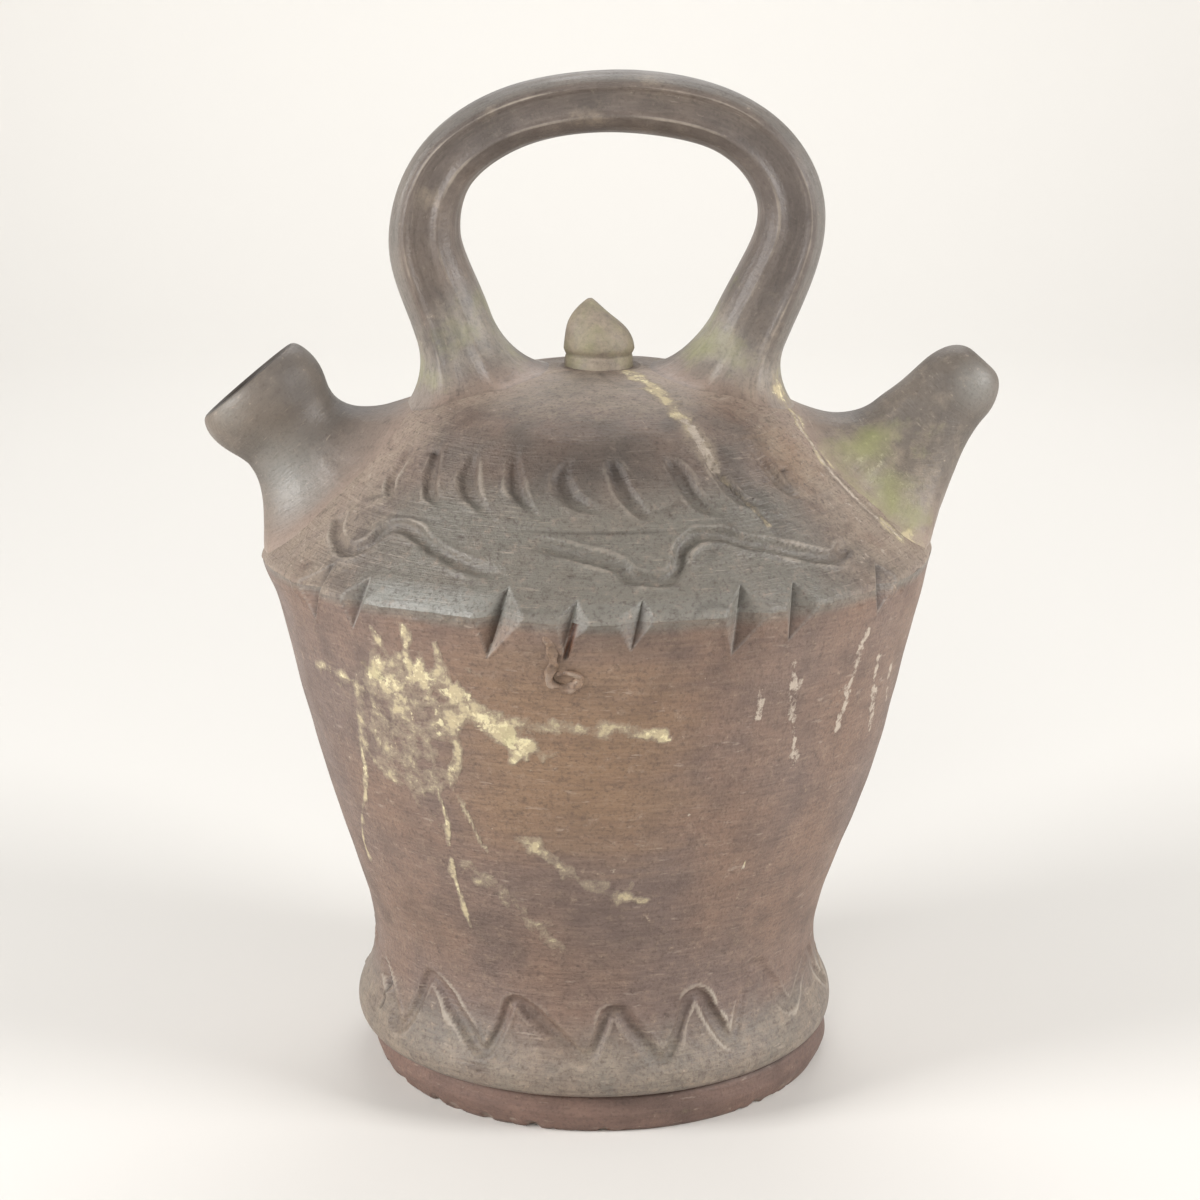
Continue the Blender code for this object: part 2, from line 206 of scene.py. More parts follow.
def paint(piece, **stains):
    """Stores numbers, or vectors, on the points of a piece for its material to read by name."""
    points = len(piece.data.vertices)
    for name, values in stains.items():
        values = np.asarray(values, np.float32)
        vector = values.ndim > 1 and values.shape[-1] == 3
        flat = np.zeros((points, 3) if vector else points, np.float32)
        values = values.reshape(-1, 3) if vector else values.ravel()
        flat[: len(values)] = values
        layer = piece.data.attributes.new(name, "FLOAT_VECTOR" if vector else "FLOAT", "POINT")
        layer.data.foreach_set("vector" if vector else "value", flat.ravel())


def linear(hex_colour):
    """An sRGB hex colour as linear RGBA."""
    parts = [int(hex_colour[i : i + 2], 16) / 255 for i in (0, 2, 4)]
    return (*[p / 12.92 if p <= 0.04045 else ((p + 0.055) / 1.055) ** 2.4 for p in parts], 1)


def add(tree, kind, settings, inputs, out=0):
    """Adds a node with its settings, links or sets its inputs, and returns one of its outputs."""
    made = tree.nodes.new(kind)
    for key, value in settings.items():
        setattr(made, key, value)
    for key, value in inputs.items():
        if isinstance(value, bpy.types.NodeSocket):
            tree.links.new(value, made.inputs[key])
        else:
            made.inputs[key].default_value = value
    return made.outputs[out]


def smoked_clay(name, body, cloud, smoke, bloom, roughness, drag, lined, grainy):
    """Unglazed clay fired in a smoky kiln, thrown or smoothed by hand: a matt, clouded skin with drag lines.

    Colours are sRGB hex. drag is how far apart the tool's drag lines lie, lined is how much they show, and
    grainy how much the grit shows. What lies on the skin is painted on the points of a piece, under the names
    in the loop over the stains.
    """
    material = bpy.data.materials.new(name)
    material.use_nodes = True
    tree = material.node_tree
    shader = tree.nodes["Principled BSDF"]
    shader.inputs["IOR"].default_value = 1.5
    place = add(tree, "ShaderNodeTexCoord", {}, {}, "Object")
    turned = add(tree, "ShaderNodeAttribute", {"attribute_name": "turned"}, {}, "Vector")
    drawn_out = add(tree, "ShaderNodeMapping", {}, {"Vector": turned, "Scale": (0.1, 0.1, 1)})
    dashed = add(tree, "ShaderNodeMapping", {}, {"Vector": turned, "Scale": (0.22, 0.22, 1)})

    # Each grain is noise whose lumps have about the size given. Real grit and drag lines are about half as
    # large: they are drawn coarser so that they show.
    grain = {}
    for kind, source, size, detail, rough in (
        ("clouds", place, 24 * MM, 3, 0.55),
        ("mottle", place, 6 * MM, 5, 0.6),
        ("ragged", place, 2.6 * MM, 6, 0.72),
        ("crumbs", place, 1.5 * MM, 5, 0.7),
        ("grit", place, 0.5 * MM, 3, 0.6),
        ("bands", drawn_out, 2.4 * drag, 3, 0.6),
        ("lines", drawn_out, 0.5 * drag, 3, 0.65),
        ("scuffs", dashed, 0.8 * drag, 3, 0.6),
    ):
        grain[kind] = add(
            tree, "ShaderNodeTexNoise", {},
            {"Vector": source, "Scale": 0.5 / size, "Detail": detail, "Roughness": rough}, "Fac",
        )

    # What the fire and the hands left, then drag lines and grit, then what dried on the skin; some stains
    # also carry painted highlights and painted shade. Each row has the stain that is painted or none, its
    # colour, the grain that breaks it up and how far, where it begins and is full, and its share there.
    colour = linear(body)
    cover = {}
    for stain, coat, kind, breaking, low, high, most in (
        (None, cloud, "clouds", 1.0, 0.38, 0.60, 1.0),
        (None, smoke, "mottle", 1.0, 0.48, 0.74, 0.45),
        ("worked", "a08c7f", "mottle", 0.4, 0.32, 1.15, 0.85),
        ("ash", "79756c", "mottle", 0.6, 0.45, 1.20, 0.95),
        ("scorch", "97795a", "bands", 0.6, 0.46, 1.25, 0.9),
        # A film of lime and dust; on the shoulder's sides also a painted lighter tone for light.
        ("film", "ac9d8a", "ragged", 1.5, 1.10, 1.85, 0.85),
        # A smoother skin and the clay's own grey patches, and painted highlights in a pale grey.
        ("burnish", "a9aaa5", "lines", 0.3, 0.25, 1.10, 0.65),
        (None, bloom, "bands", 1.0, 0.50, 0.70, 0.4 * lined),
        (None, smoke, "lines", 1.0, 0.49, 0.66, lined),
        (None, bloom, "lines", 1.0, 0.46, 0.33, 0.8 * lined),
        (None, bloom, "crumbs", 1.0, 0.54, 0.74, 0.5 * grainy),
        (None, smoke, "crumbs", 1.0, 0.46, 0.30, 0.4 * grainy),
        (None, smoke, "grit", 1.0, 0.52, 0.70, 0.45 * grainy),
        (None, "b9aa9b", "scuffs", 1.0, 0.64, 0.73, 0.35),
        (None, "c9baa8", "crumbs", 1.0, 0.67, 0.75, 0.5),
        (None, "d2c6b4", "ragged", 1.0, 0.685, 0.735, 0.7),
        (None, "3f342e", "crumbs", 1.0, 0.34, 0.25, 0.5 * grainy),
        ("lime", "a89a85", "ragged", 2.4, 1.84, 2.30, 0.8),
        ("lime", "c5b694", "ragged", 2.4, 2.22, 2.46, 0.88),
        ("lime", "e6dab2", "crumbs", 2.4, 2.42, 2.62, 0.9),
        ("chalk", "c2b4a5", "crumbs", 2.4, 1.84, 2.12, 0.88),
        # Pale wear, and painted highlights on lips, ridges and crumples.
        ("worn", "b2a698", "ragged", 0.9, 0.68, 1.50, 0.8),
        ("lichen", "9c9f6a", "mottle", 1.2, 0.86, 1.50, 0.85),
        ("rust", "6b3a1c", "mottle", 0.3, 0.24, 1.10, 1.0),
        # Soot, and painted shade in hollows, cracks, creases, bores and under overhangs.
        ("soot", "2c2420", "mottle", 0.4, 0.27, 1.20, 1.0),
    ):
        painted = add(tree, "ShaderNodeAttribute", {"attribute_name": stain}, {}, "Fac") if stain else 0.0
        broken = add(
            tree, "ShaderNodeMath", {"operation": "MULTIPLY_ADD"}, {0: grain[kind], 1: breaking, 2: painted}
        )
        share = add(
            tree, "ShaderNodeMapRange", {},
            {"Value": broken, "From Min": low, "From Max": high, "To Max": most},
        )
        cover.setdefault(stain, share)
        mixed = {0: share, 6: colour, 7: linear(coat)}
        colour = add(tree, "ShaderNodeMix", {"data_type": "RGBA"}, mixed, 2)
    tree.links.new(colour, shader.inputs["Base Color"])

    # Ash and rubbing smooth the skin, and what dried on it is dull.
    clouded = {"From Min": 0.3, "From Max": 0.7, "To Min": roughness - 0.08, "To Max": roughness + 0.08}
    rough = add(tree, "ShaderNodeMapRange", {}, {"Value": grain["mottle"], **clouded})
    for stain, change in (("ash", -0.12), ("burnish", -0.14), ("film", 0.2), ("lime", 0.35), ("chalk", 0.3)):
        rough = add(
            tree, "ShaderNodeMath", {"operation": "MULTIPLY_ADD", "use_clamp": True},
            {0: cover[stain], 1: change, 2: rough},
        )
    tree.links.new(rough, shader.inputs["Roughness"])

    # Grain stands out of the skin, and so do crusts.
    relief = 0.0
    for part, height in (
        (grain["lines"], 0.6),
        (grain["grit"], 0.5),
        (grain["crumbs"], 1.0),
        (cover["lime"], 0.7),
        (cover["chalk"], 0.3),
    ):
        relief = add(tree, "ShaderNodeMath", {"operation": "MULTIPLY_ADD"}, {0: part, 1: height, 2: relief})
    felt = {"Strength": 0.25 + 0.5 * grainy, "Distance": 0.5 * MM, "Height": relief}
    tree.links.new(add(tree, "ShaderNodeBump", {}, felt, "Normal"), shader.inputs["Normal"])
    return material


columns = columns_round([notch[0] for notch in NOTCHES])
slab_outline = np.array(
    [
        (FACE_MIDDLE, 0),
        (FOOT_RADIUS - 1.5 * MM, 0),
        (FOOT_RADIUS, 1.5 * MM),
        (PLINTH_RADIUS, 6.0 * MM),
        (PLINTH_RADIUS - 0.6 * MM, SLAB_TOP - 1.2 * MM),
        (GROOVE_RADIUS, SLAB_TOP),
        (FACE_MIDDLE, SLAB_TOP),
    ]
)
slab_side = rows_along(slab_outline[1:6], lambda at: np.full(len(at), SLAB_SPACING))
slab_radius, slab_height = all_round(np.vstack([slab_outline[:1], slab_side, slab_outline[-1:]]))
slab_points = round_points(slab_radius, columns, slab_height)
on_side = ease(FOOT_RADIUS - 4 * MM, FOOT_RADIUS - 2 * MM, slab_radius)
chips = np.clip(lumps(slab_points, 3.0 * MM, 11), 0, None)
chips *= np.clip(0.6 + lumps(slab_points, 15 * MM, 12), 0, None)
chips *= on_side * bell(slab_height, CHIP_REACH) * CHIP_DEPTH
proud = bell(columns - 86, 14) * ease(1 * MM, 4 * MM, slab_height) + bell(columns - 62, 34)
slab_radius = slab_radius + on_side * (out_of_true(slab_points) + PROUD * proud) - chips
slab_height = slab_height + 0.7 * chips * (slab_height < SLAB_TOP / 2)
foot_slab = skin("foot_slab", round_points(slab_radius, columns, slab_height), fans=True)
# Cut with a wire and smoke-fired: darker and rougher than the thrown wall, and dull.
wire_cut_clay = smoked_clay(
    "wire_cut_smoked_clay", "7b6156", "6f5950", "4a3b35", "8d7466", 0.58, 0.9 * MM, 0.2, 1.0
)
foot_slab.data.materials.append(wire_cut_clay)
paint(
    foot_slab,
    turned=slab_points,
    # Painted shade along the top of the slab's side, under the belly's bulge.
    soot=0.5 * ease(SLAB_TOP - 1.4 * MM, SLAB_TOP, slab_height) * on_side,
    worn=0.6 * ease(0.1 * MM, 0.5 * MM, chips),
)
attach(foot_slab, "root")
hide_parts("base_slab")


# Belly: the wheel-thrown wall, from a rolled bulge over the foot through a waist to the sharp edge.
# Thrown clay; a zigzag was drawn round the bulge with a blunt stick, and the edge was notched with a knife.
EDGE_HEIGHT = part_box("shoulder_cone")[0].z
WALL = 6 * MM
BULGE_RADIUS = 74.0 * MM
BULGE_HEIGHT = 17.8 * MM
WAIST_RADIUS = 68.3 * MM
WAIST_HEIGHT = 39 * MM
KNIFE_SLANT = math.tan(math.radians(14))
KNIFE_LEAN = 0.25
LEAN = 0.0115
LEAN_MIDDLE = 0.100

# The zigzag's turning points, azimuth and height in mm: listed in front, and at an even step round the back.
ZIGZAG_FRONT = (
    (-68, 35), (-52.8, 22.7), (-44.3, 40.8), (-26.8, 23.8), (-19.3, 39.8), (-2.3, 24.9), (4.8, 38.3),
    (16.3, 23.1), (25.2, 40.8), (34.5, 25.1), (42.6, 45.4), (56.3, 27.6), (70.7, 38),
)
ZIGZAG_BACK = [(82 + 11.2 * i, 24 + 1.6 * math.sin(3 * i) + 16 * (i % 2)) for i in range(18)]
ZIGZAG_END = (292, 35)
# Between these azimuths the stick was pressed less.
ZIGZAG_FAINT = (36, 78)
FAINT_PRESS = 0.45
# Stains as half width in mm, strength, and then the run's azimuths and heights in mm.
LIME_SPLASH = (
    (5.0, 1.18, (-40, 140), (-38.5, 139.2), (-36.6, 138.6)),
    (5.0, 1.12, (-31, 142.3), (-28.1, 140.7), (-25.5, 140), (-22.8, 138.5)),
    (2.0, 1.15, (-32.5, 157), (-32.7, 151.7), (-32.6, 144.6)),
    (1.6, 1.06, (-39.4, 155), (-37.2, 148.6), (-36.5, 144)),
    (2.0, 0.99, (-26.8, 153), (-26.3, 146)),
    (1.8, 1.06, (-58.5, 136.7), (-53.3, 137), (-48.7, 136.6), (-44.6, 134.7)),
    (2.6, 0.93, (-45.2, 131), (-47.5, 123.5), (-47.2, 115)),
    (5.0, 0.93, (-42, 135), (-41, 127), (-42, 119)),
    (4.0, 1.07, (-29, 136), (-26.2, 130.9), (-28.1, 125.5)),
    (2.0, 1.02, (-25, 124.1), (-24.9, 121.1), (-27.1, 113.3)),
    (1.2, 0.99, (-46.4, 113.3), (-44.1, 109.5), (-41.3, 107.4)),
    (1.1, 0.96, (-39.3, 112.2), (-32.9, 112.4), (-27.3, 112.1)),
    (1.4, 1.20, (-49, 115), (-50, 105.6), (-52.5, 97)),
    (1.0, 1.08, (-52.5, 97), (-59.6, 82.6), (-60.5, 75.2)),
    (1.0, 1.10, (-30.7, 107.3), (-30, 98.9), (-30.3, 90)),
    (1.1, 1.18, (-30.5, 86), (-30.7, 81.9), (-30.2, 73), (-29.4, 63)),
    (0.9, 1.06, (-27.6, 109.5), (-24.5, 99.4), (-23.2, 93.5)),
    (1.2, 1.25, (-22, 91.5), (-21.7, 90.5)),
    (2.2, 1.06, (-23.4, 142), (-19.7, 135.9), (-16.3, 133.7)),
    (4.2, 1.25, (-19.3, 130.8), (-16.5, 129.2), (-13, 125)),
    (1.6, 1.18, (-13.2, 124.7), (-12.3, 121.5)),
    (1.0, 1.25, (-11.8, 118.4), (-11.6, 117.8)),
    (1.0, 1.20, (2.6, 131.6), (7.0, 130.8), (11.2, 129.2)),
    (0.9, 1.20, (4.4, 129.8), (7.8, 129), (11.8, 126.8)),
    (0.8, 1.12, (1.8, 130), (5.2, 129.4), (8, 127.6)),
)
LIME_FILM = (
    (13.0, 0.92, (-36, 139), (-35.2, 127.5), (-36, 119)),
    (6.5, 0.84, (-41, 112), (-36.6, 109), (-30, 112)),
    (4.5, 0.80, (-37.2, 107.2), (-33.2, 101)),
    (3.0, 0.92, (-16, 133), (-10.2, 131.2), (-4.2, 131), (3, 131), (10, 128.6)),
    (3.0, 0.86, (-27.6, 84), (-20.6, 77.1), (-14.9, 68.2), (-7.3, 58.3)),
    (2.4, 0.98, (-14.6, 95.1), (-9.6, 90.2), (-2, 81.6), (8.5, 75.9)),
)
CHALK_RUNS = (
    (1.8, 0.86, (33.5, 145.5), (34.5, 137.4), (36, 127.9), (38.3, 113.1)),
    (1.2, 0.78, (27.6, 139.9), (28.2, 130.1)),
    (1.9, 0.82, (50.8, 149.4), (49.9, 142.8), (49.3, 132.4), (48.7, 121.8)),
    (1.8, 0.84, (57, 139), (58.7, 128.6), (62.7, 114.3)),
    (1.5, 0.80, (65.2, 133.5), (66.6, 127), (68.4, 121.2)),
)
# Cracks from drying, with their half width and depth, sooty smudges and yellowed crusts, as azimuth and
# height in mm.
SPLIT = ((-64.5, 34), (-64, 29), (-63.5, 24))
SPLIT_SIZE = (0.7 * MM, 0.9 * MM)
CRACK = ((-3.4, 166.2), (-4.0, 161), (-4.7, 156), (-5.3, 152))
CRACK_SIZE = (0.8 * MM, 1.3 * MM)
SMUDGES = ((-15.6, 143), (-14.6, 143.2), (-3.2, 127), (-2.2, 127.6), (-1.0, 127.2))
YELLOWED = ((-40, 141), (-15, 127.5))


def bezier(t, a, b, c, d):
    """A place on the Bezier curve from a to d that b and c pull at."""
    return (1 - t) ** 3 * a + 3 * t * (1 - t) ** 2 * b + 3 * t * t * (1 - t) * c + t**3 * d


def bow(start, start_pull, end_pull, end, steps=60):
    """Points of a Bezier curve, in as many dimensions as its ends have."""
    corners = np.array((start, start_pull, end_pull, end), float)
    return bezier(np.linspace(0, 1, steps)[:, None], *corners)


def lean(points):
    """The wheel-thrown body leans a hair to the right as it rises."""
    shift = np.clip(LEAN * (points[..., 2] - LEAN_MIDDLE), -0.9 * MM, 0.8 * MM)
    return points + shift[..., None] * np.array((1, 0, 0))


def smooth(points, steps=24):
    """A Catmull-Rom line through points, with so many steps from each to the next."""
    knots = np.array(points, float)
    knots = np.vstack([2 * knots[0] - knots[1], knots, 2 * knots[-1] - knots[-2]])
    t = np.linspace(0, 1, steps, endpoint=False)[:, None]
    line = []
    for a, b, c, d in zip(knots, knots[1:], knots[2:], knots[3:]):
        bend = a - 2.5 * b + 2 * c - d / 2
        twist = 1.5 * (b - c) + (d - a) / 2
        line.append(b + (c - a) / 2 * t + bend * t**2 + twist * t**3)
    return np.vstack([*line, knots[-2]])


def on_wall(line, outline):
    """A line of (azimuth, height in mm) as points on the wall with that outline."""
    line = np.asarray(line, float)
    height = line[:, 1] * MM
    return round_points(np.interp(height, outline[:, 1], outline[:, 0]), line[:, 0], height)


def nearest(points, line, reach=12 * MM):
    """Distance from each point to a line of points, and the index of the nearest one."""
    flat = points.reshape(-1, 3)
    inside = (flat > line.min(axis=0) - reach) & (flat < line.max(axis=0) + reach)
    close = np.flatnonzero(np.all(inside, axis=1))
    distance = np.full(len(flat), 1.0)
    index = np.zeros(len(flat), int)
    for i, spot in enumerate(line):
        away = np.linalg.norm(flat[close] - spot, axis=1)
        closer = away < distance[close]
        distance[close[closer]] = away[closer]
        index[close[closer]] = i
    return distance.reshape(points.shape[:-1]), index.reshape(points.shape[:-1])


def drawn_groove(points, line, half_width, depth):
    """Inward depth of a groove drawn with a blunt stick, with the clay pushed up beside it."""
    distance, index = nearest(points, line)
    half_width = np.broadcast_to(half_width, len(line))[index]
    depth = np.broadcast_to(depth, len(line))[index]
    from_end = np.minimum(index, len(line) - 1 - index)
    depth = depth * ease(-4, 10, from_end)
    share = distance / half_width * (1 + 0.13 * lumps(points, 5 * MM, 62))
    hollow = np.clip(1 - share**3.2, 0, 1)
    lip = 0.28 * (1 + 0.8 * lumps(points, 6 * MM, 63)) * bell(share - 1.26, 0.34)
    return depth * (hollow - lip)


def crust(distance, half_width):
    """1 near a run's middle line, fading to 0 over its half width and half as much again."""
    return np.clip(1.5 - distance / half_width, 0, 1)


def stained(points, runs, outline):
    """How thick runs of a stain lie on each point of a wall, with uneven edges."""
    cover = np.zeros(points.shape[:-1])
    uneven = 1 + 0.5 * lumps(points, 4 * MM, 65)
    for half_width, strength, *spots in runs:
        distance, _ = nearest(points, on_wall(smooth(spots, 10), outline))
        cover = np.maximum(cover, strength * crust(uneven * distance, half_width * MM))
    return cover


def slant(height):
    """The knife leans to the right, so a notch's line shifts with height, in degrees."""
    rise = np.clip(height, EDGE_HEIGHT - 12 * MM, EDGE_HEIGHT + 10 * MM) - EDGE_HEIGHT
    return np.degrees(KNIFE_SLANT * rise / EDGE_RADIUS)


def knife_cut(notch, azimuth, height):
    """Distance across from a notch's line, width of the facet there, and the radius that the knife left."""
    centre, depth, left, right = notch
    across = np.radians(from_front(azimuth - slant(height) - centre)) * EDGE_RADIUS
    width = np.where(across < 0, left, right) * MM
    bottom = EDGE_RADIUS - depth * MM - KNIFE_LEAN * (height - EDGE_HEIGHT)
    return across, width, bottom + depth * MM * np.abs(across) / width


def notched(radius, azimuth, height):
    """The wall's radius with the knife notches cut across its edge, and a burr beside them."""
    for notch in NOTCHES:
        _, _, cut = knife_cut(notch, azimuth, height)
        radius = np.minimum(radius + 0.4 * MM * bell(cut - radius, 0.8 * MM), cut)
    return radius


def notch_marks(radius, azimuth, height):
    """Painted shade on one facet of each knife notch, darkest along its line, and painted highlight on
    the other facet and on the rims.

    radius is the wall's before it was notched. The painted shade lies left of a notch's line on the left of
    the jug, and right of it on the right.
    """
    dirt = np.zeros(radius.shape)
    bare = np.zeros(radius.shape)
    for notch in NOTCHES:
        across, width, cut = knife_cut(notch, azimuth, height)
        close = (np.abs(across) < 1.2 * width) & (np.abs(height - EDGE_HEIGHT) < 14 * MM)
        inside = close & (cut < radius)
        dirty = inside & ((across < 0) == (notch[0] < 0))
        at_line = bell(across, 1.5 * MM)
        dirt = np.maximum(dirt, dirty * (0.08 + 0.5 * at_line))
        rim = close * bell(radius - cut, 0.35 * MM)
        bare = np.maximum(bare, np.maximum((inside & ~dirty) * (0.4 + 0.5 * at_line), 0.5 * rim))
    return dirt, bare


def crumbly(points):
    """Height of the crumbs that the knife left along the edge, in front and behind."""
    near_edge = bell(points[..., 2] - EDGE_HEIGHT + 2 * MM, 5 * MM)
    off_sides = ease(0.3, 0.5, np.abs(points[..., 1]) / EDGE_RADIUS)
    return 1.1 * MM * near_edge * off_sides * np.clip(lumps(points, 2.4 * MM, 61) - 0.5, 0, 0.6)


def edge_sway(points):
    """The edge wanders up and down a little where it was trimmed by hand, and droops below the mouth."""
    near_edge = bell(points[..., 2] - EDGE_HEIGHT, 9 * MM)
    flattened = points * np.array((1, 1, 0))
    by_mouth = bell(points[..., 1] / EDGE_RADIUS, 0.42) * (points[..., 0] < 0)
    return (0.5 * lumps(flattened, 24 * MM, 5) - 2.6 * by_mouth) * MM * near_edge


def belly_spacing(at):
    """Rows lie closer together over the bulge's zigzag, and closest at the notched edge."""
    height = at[:, 1]
    plain = np.where(height < 50 * MM, 0.9 * MM, 1.6 * MM)
    return np.where(height > EDGE_HEIGHT - 12 * MM, 0.65 * MM, plain)


belly_foot = (GROOVE_RADIUS, SLAB_TOP + 0.3 * MM)
belly_bulge = (BULGE_RADIUS, BULGE_HEIGHT)
belly_waist = (WAIST_RADIUS, WAIST_HEIGHT)
belly_edge = (EDGE_RADIUS, EDGE_HEIGHT)
under_bulge = ((BULGE_RADIUS - 3 * MM, belly_foot[1]), (BULGE_RADIUS, BULGE_HEIGHT - 4.5 * MM))
over_bulge = ((BULGE_RADIUS, BULGE_HEIGHT + 5.5 * MM), (WAIST_RADIUS, WAIST_HEIGHT - 12 * MM))
over_waist = ((WAIST_RADIUS, WAIST_HEIGHT + 20 * MM), (EDGE_RADIUS - 17 * MM, EDGE_HEIGHT - 85 * MM))
belly_outline = np.vstack(
    [
        bow(belly_foot, *under_bulge, belly_bulge),
        bow(belly_bulge, *over_bulge, belly_waist)[1:],
        bow(belly_waist, *over_waist, belly_edge)[1:],
    ]
)
belly_rows = rows_along(belly_outline, belly_spacing)
belly_azimuth = columns + slant(belly_rows[:, 1:])
belly_radius, belly_height = all_round(belly_rows)
belly_points = round_points(belly_radius, belly_azimuth, belly_height)
belly_radius = belly_radius + out_of_true(belly_points) + crumbly(belly_points)
belly_height = belly_height + edge_sway(belly_points)

# The stick went round in one go: azimuth, height and half width in mm, and how hard it was pressed.
turns = []
ends = [*ZIGZAG_FRONT[1:], *ZIGZAG_BACK, ZIGZAG_END]
for (here, height), (there, next_height) in zip([*ZIGZAG_FRONT, *ZIGZAG_BACK], ends):
    middle = (here + there) / 2
    pressed = FAINT_PRESS if ZIGZAG_FAINT[0] < middle < ZIGZAG_FAINT[1] else 1
    falling = next_height < height
    if falling:
        turns += [(here - 1.8, height - 0.8, 2.0, pressed), (here + 1.8, height - 0.8, 2.2, pressed)]
    else:
        turns += [(here, height, 2.1, pressed)]
    turns += [(middle, (height + next_height) / 2, 2.6 if falling else 1.7, pressed)]
zigzag = smooth(turns, 9)
zigzag_depth = 0.6 * zigzag[:, 2] * zigzag[:, 3] * MM
drawn = drawn_groove(belly_points, on_wall(zigzag, belly_outline), zigzag[:, 2] * MM, zigzag_depth)
split = on_wall(smooth(SPLIT), belly_outline)
crack = on_wall(smooth(CRACK), belly_outline)
belly_radius = belly_radius - drawn
belly_radius = belly_radius - drawn_groove(belly_points, split, *SPLIT_SIZE)
belly_radius = belly_radius - drawn_groove(belly_points, crack, *CRACK_SIZE)
# Painted shade and highlight for the notches' facets, taken from the wall before it is notched.
belly_dirt, belly_bare = notch_marks(belly_radius, belly_azimuth, belly_height)
belly_radius = notched(belly_radius, belly_azimuth, belly_height)

inner_rows = belly_outline[:: len(belly_outline) // 14][::-1] - np.array((WALL, 0))
inner_rows = np.vstack([(EDGE_RADIUS - WALL, EDGE_HEIGHT), inner_rows[1:]])
belly_outside = lean(round_points(belly_radius, belly_azimuth, belly_height))
belly_inside = lean(round_points(inner_rows[:, :1], columns, inner_rows[:, 1:]))
belly = skin("belly", np.concatenate([belly_outside, belly_inside]), loop=True)
# Thrown and smoke-fired: a matt brown skin, clouded by the smoke, with fine drag lines round it.
thrown_clay = smoked_clay(
    "thrown_smoked_clay", "846b5c", "79675f", "55453e", "9f8a78", 0.52, 0.9 * MM, 0.26, 1.25
)
belly.data.materials.append(thrown_clay)
side = from_front(belly_azimuth)
up = belly_height / MM
at_top = 0.75 * ease(EDGE_HEIGHT - 5 * MM, EDGE_HEIGHT - 0.5 * MM, belly_height)
hazy = 0.45 * bell(side + 44, 16) * bell(up - 124, 28)
rubbed = np.clip(0.5 + 0.6 * lumps(belly_points, 16 * MM, 66), 0.25, 1)
yellowed = np.zeros(belly_radius.shape)
for place in YELLOWED:
    distance, _ = nearest(belly_points, on_wall([place], belly_outline))
    yellowed = np.maximum(yellowed, 0.42 * bell(distance, 5 * MM))
crack_distance, _ = nearest(belly_points, crack)
split_distance, _ = nearest(belly_points, split)
smudge_distance, _ = nearest(belly_points, on_wall(SMUDGES, belly_outline))
# Soot smudges, and painted shade in the cracks, in the zigzag, at the foot under the bulge and on the
# notches.
smoked = [
    0.8 * bell(np.minimum(crack_distance, split_distance), 0.6 * MM),
    0.3 * bell(smudge_distance, 2.2 * MM),
    0.18 * ease(0.3 * MM, 1.0 * MM, drawn),
    0.5 * ease(SLAB_TOP + 1.5 * MM, SLAB_TOP + 0.3 * MM, belly_height),
    # Darker under the edge on the front right, and in a band at about 60 mm.
    0.2 * bell(side - 16, 26) * ease(128, 157, up) + 0.12 * bell(up - 60, 16),
    belly_dirt,
]
paint(
    belly,
    turned=belly_points,
    scorch=0.62 * bell(side + 5, 23, 4) * bell(up - 122, 36, 4),
    ash=np.maximum(at_top, 0.62 * ease(44, 24, up) * ease(SLAB_TOP / MM, 14, up)),
    film=np.maximum(hazy, 0.52 * ease(36, 26, up) * ease(13, 15, up)),
    burnish=0.8 * belly_bare,
    lime=stained(belly_points, [*LIME_SPLASH, *LIME_FILM], belly_outline),
    chalk=stained(belly_points, CHALK_RUNS, belly_outline),
    # Pale wear and painted highlight on the zigzag's raised lips.
    worn=rubbed * ease(0.03 * MM, 0.22 * MM, -drawn),
    lichen=yellowed,
    rust=bell(crack_distance, 0.9 * MM) * ease(150, 156, up),
    soot=np.max(smoked, axis=0),
)
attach(belly, "root")
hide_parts("belly_wall")


# Knife paring: a curl of clay that the knife pushed out of a notch.
# The same clay as the belly: it stuck to the wall below the notch, dried there and was fired with the jug.
PARING_WAY = (
    (-8.3, 160), (-7.7, 156), (-7.0, 151.6), (-7.6, 148.2), (-7.9, 145.4), (-6.4, 143.3), (-4.4, 143.6),
    (-3.0, 146.2), (-4.4, 147.6), (-6.6, 147.4),
)
PARING_WIDTH = 2.8 * MM
PARING_HEIGHT = 1.3 * MM
PARING_POINTS = 16
CRUMPLES = 1.8 * MM
CRUMPLE_SEED = 71
paring_way = smooth(PARING_WAY, 8)
paring_line = on_wall(paring_way, belly_outline)
off_wall = round_points(1.0, paring_way[:, 0], -0.3)
paring_line = lean(paring_line + off_wall * out_of_true(paring_line)[:, None])
along = unit(np.gradient(paring_line, axis=0))
sideways = np.cross(along, off_wall)
run = np.linspace(0, 1, len(paring_line))
swell = (0.35 + 0.65 * np.sin(math.pi * run**0.8) ** 0.6)[:, None, None]
turned = np.linspace(0, math.tau, PARING_POINTS, endpoint=False)[:, None]
paring_rings = paring_line[:, None] + swell * (
    PARING_HEIGHT * np.cos(turned) * off_wall[:, None] + PARING_WIDTH / 2 * np.sin(turned) * sideways[:, None]
)
crumpled = lumps(paring_rings, CRUMPLES, CRUMPLE_SEED)
paring_rings += 0.75 * MM * crumpled[..., None] * (off_wall + 0.5 * sideways)[:, None]
paring = skin("knife_paring", paring_rings, fans=True)
paring.data.materials.append(thrown_clay)
crumpled = lumps(paring_rings, CRUMPLES, CRUMPLE_SEED)
outward = np.cos(turned[:, 0])
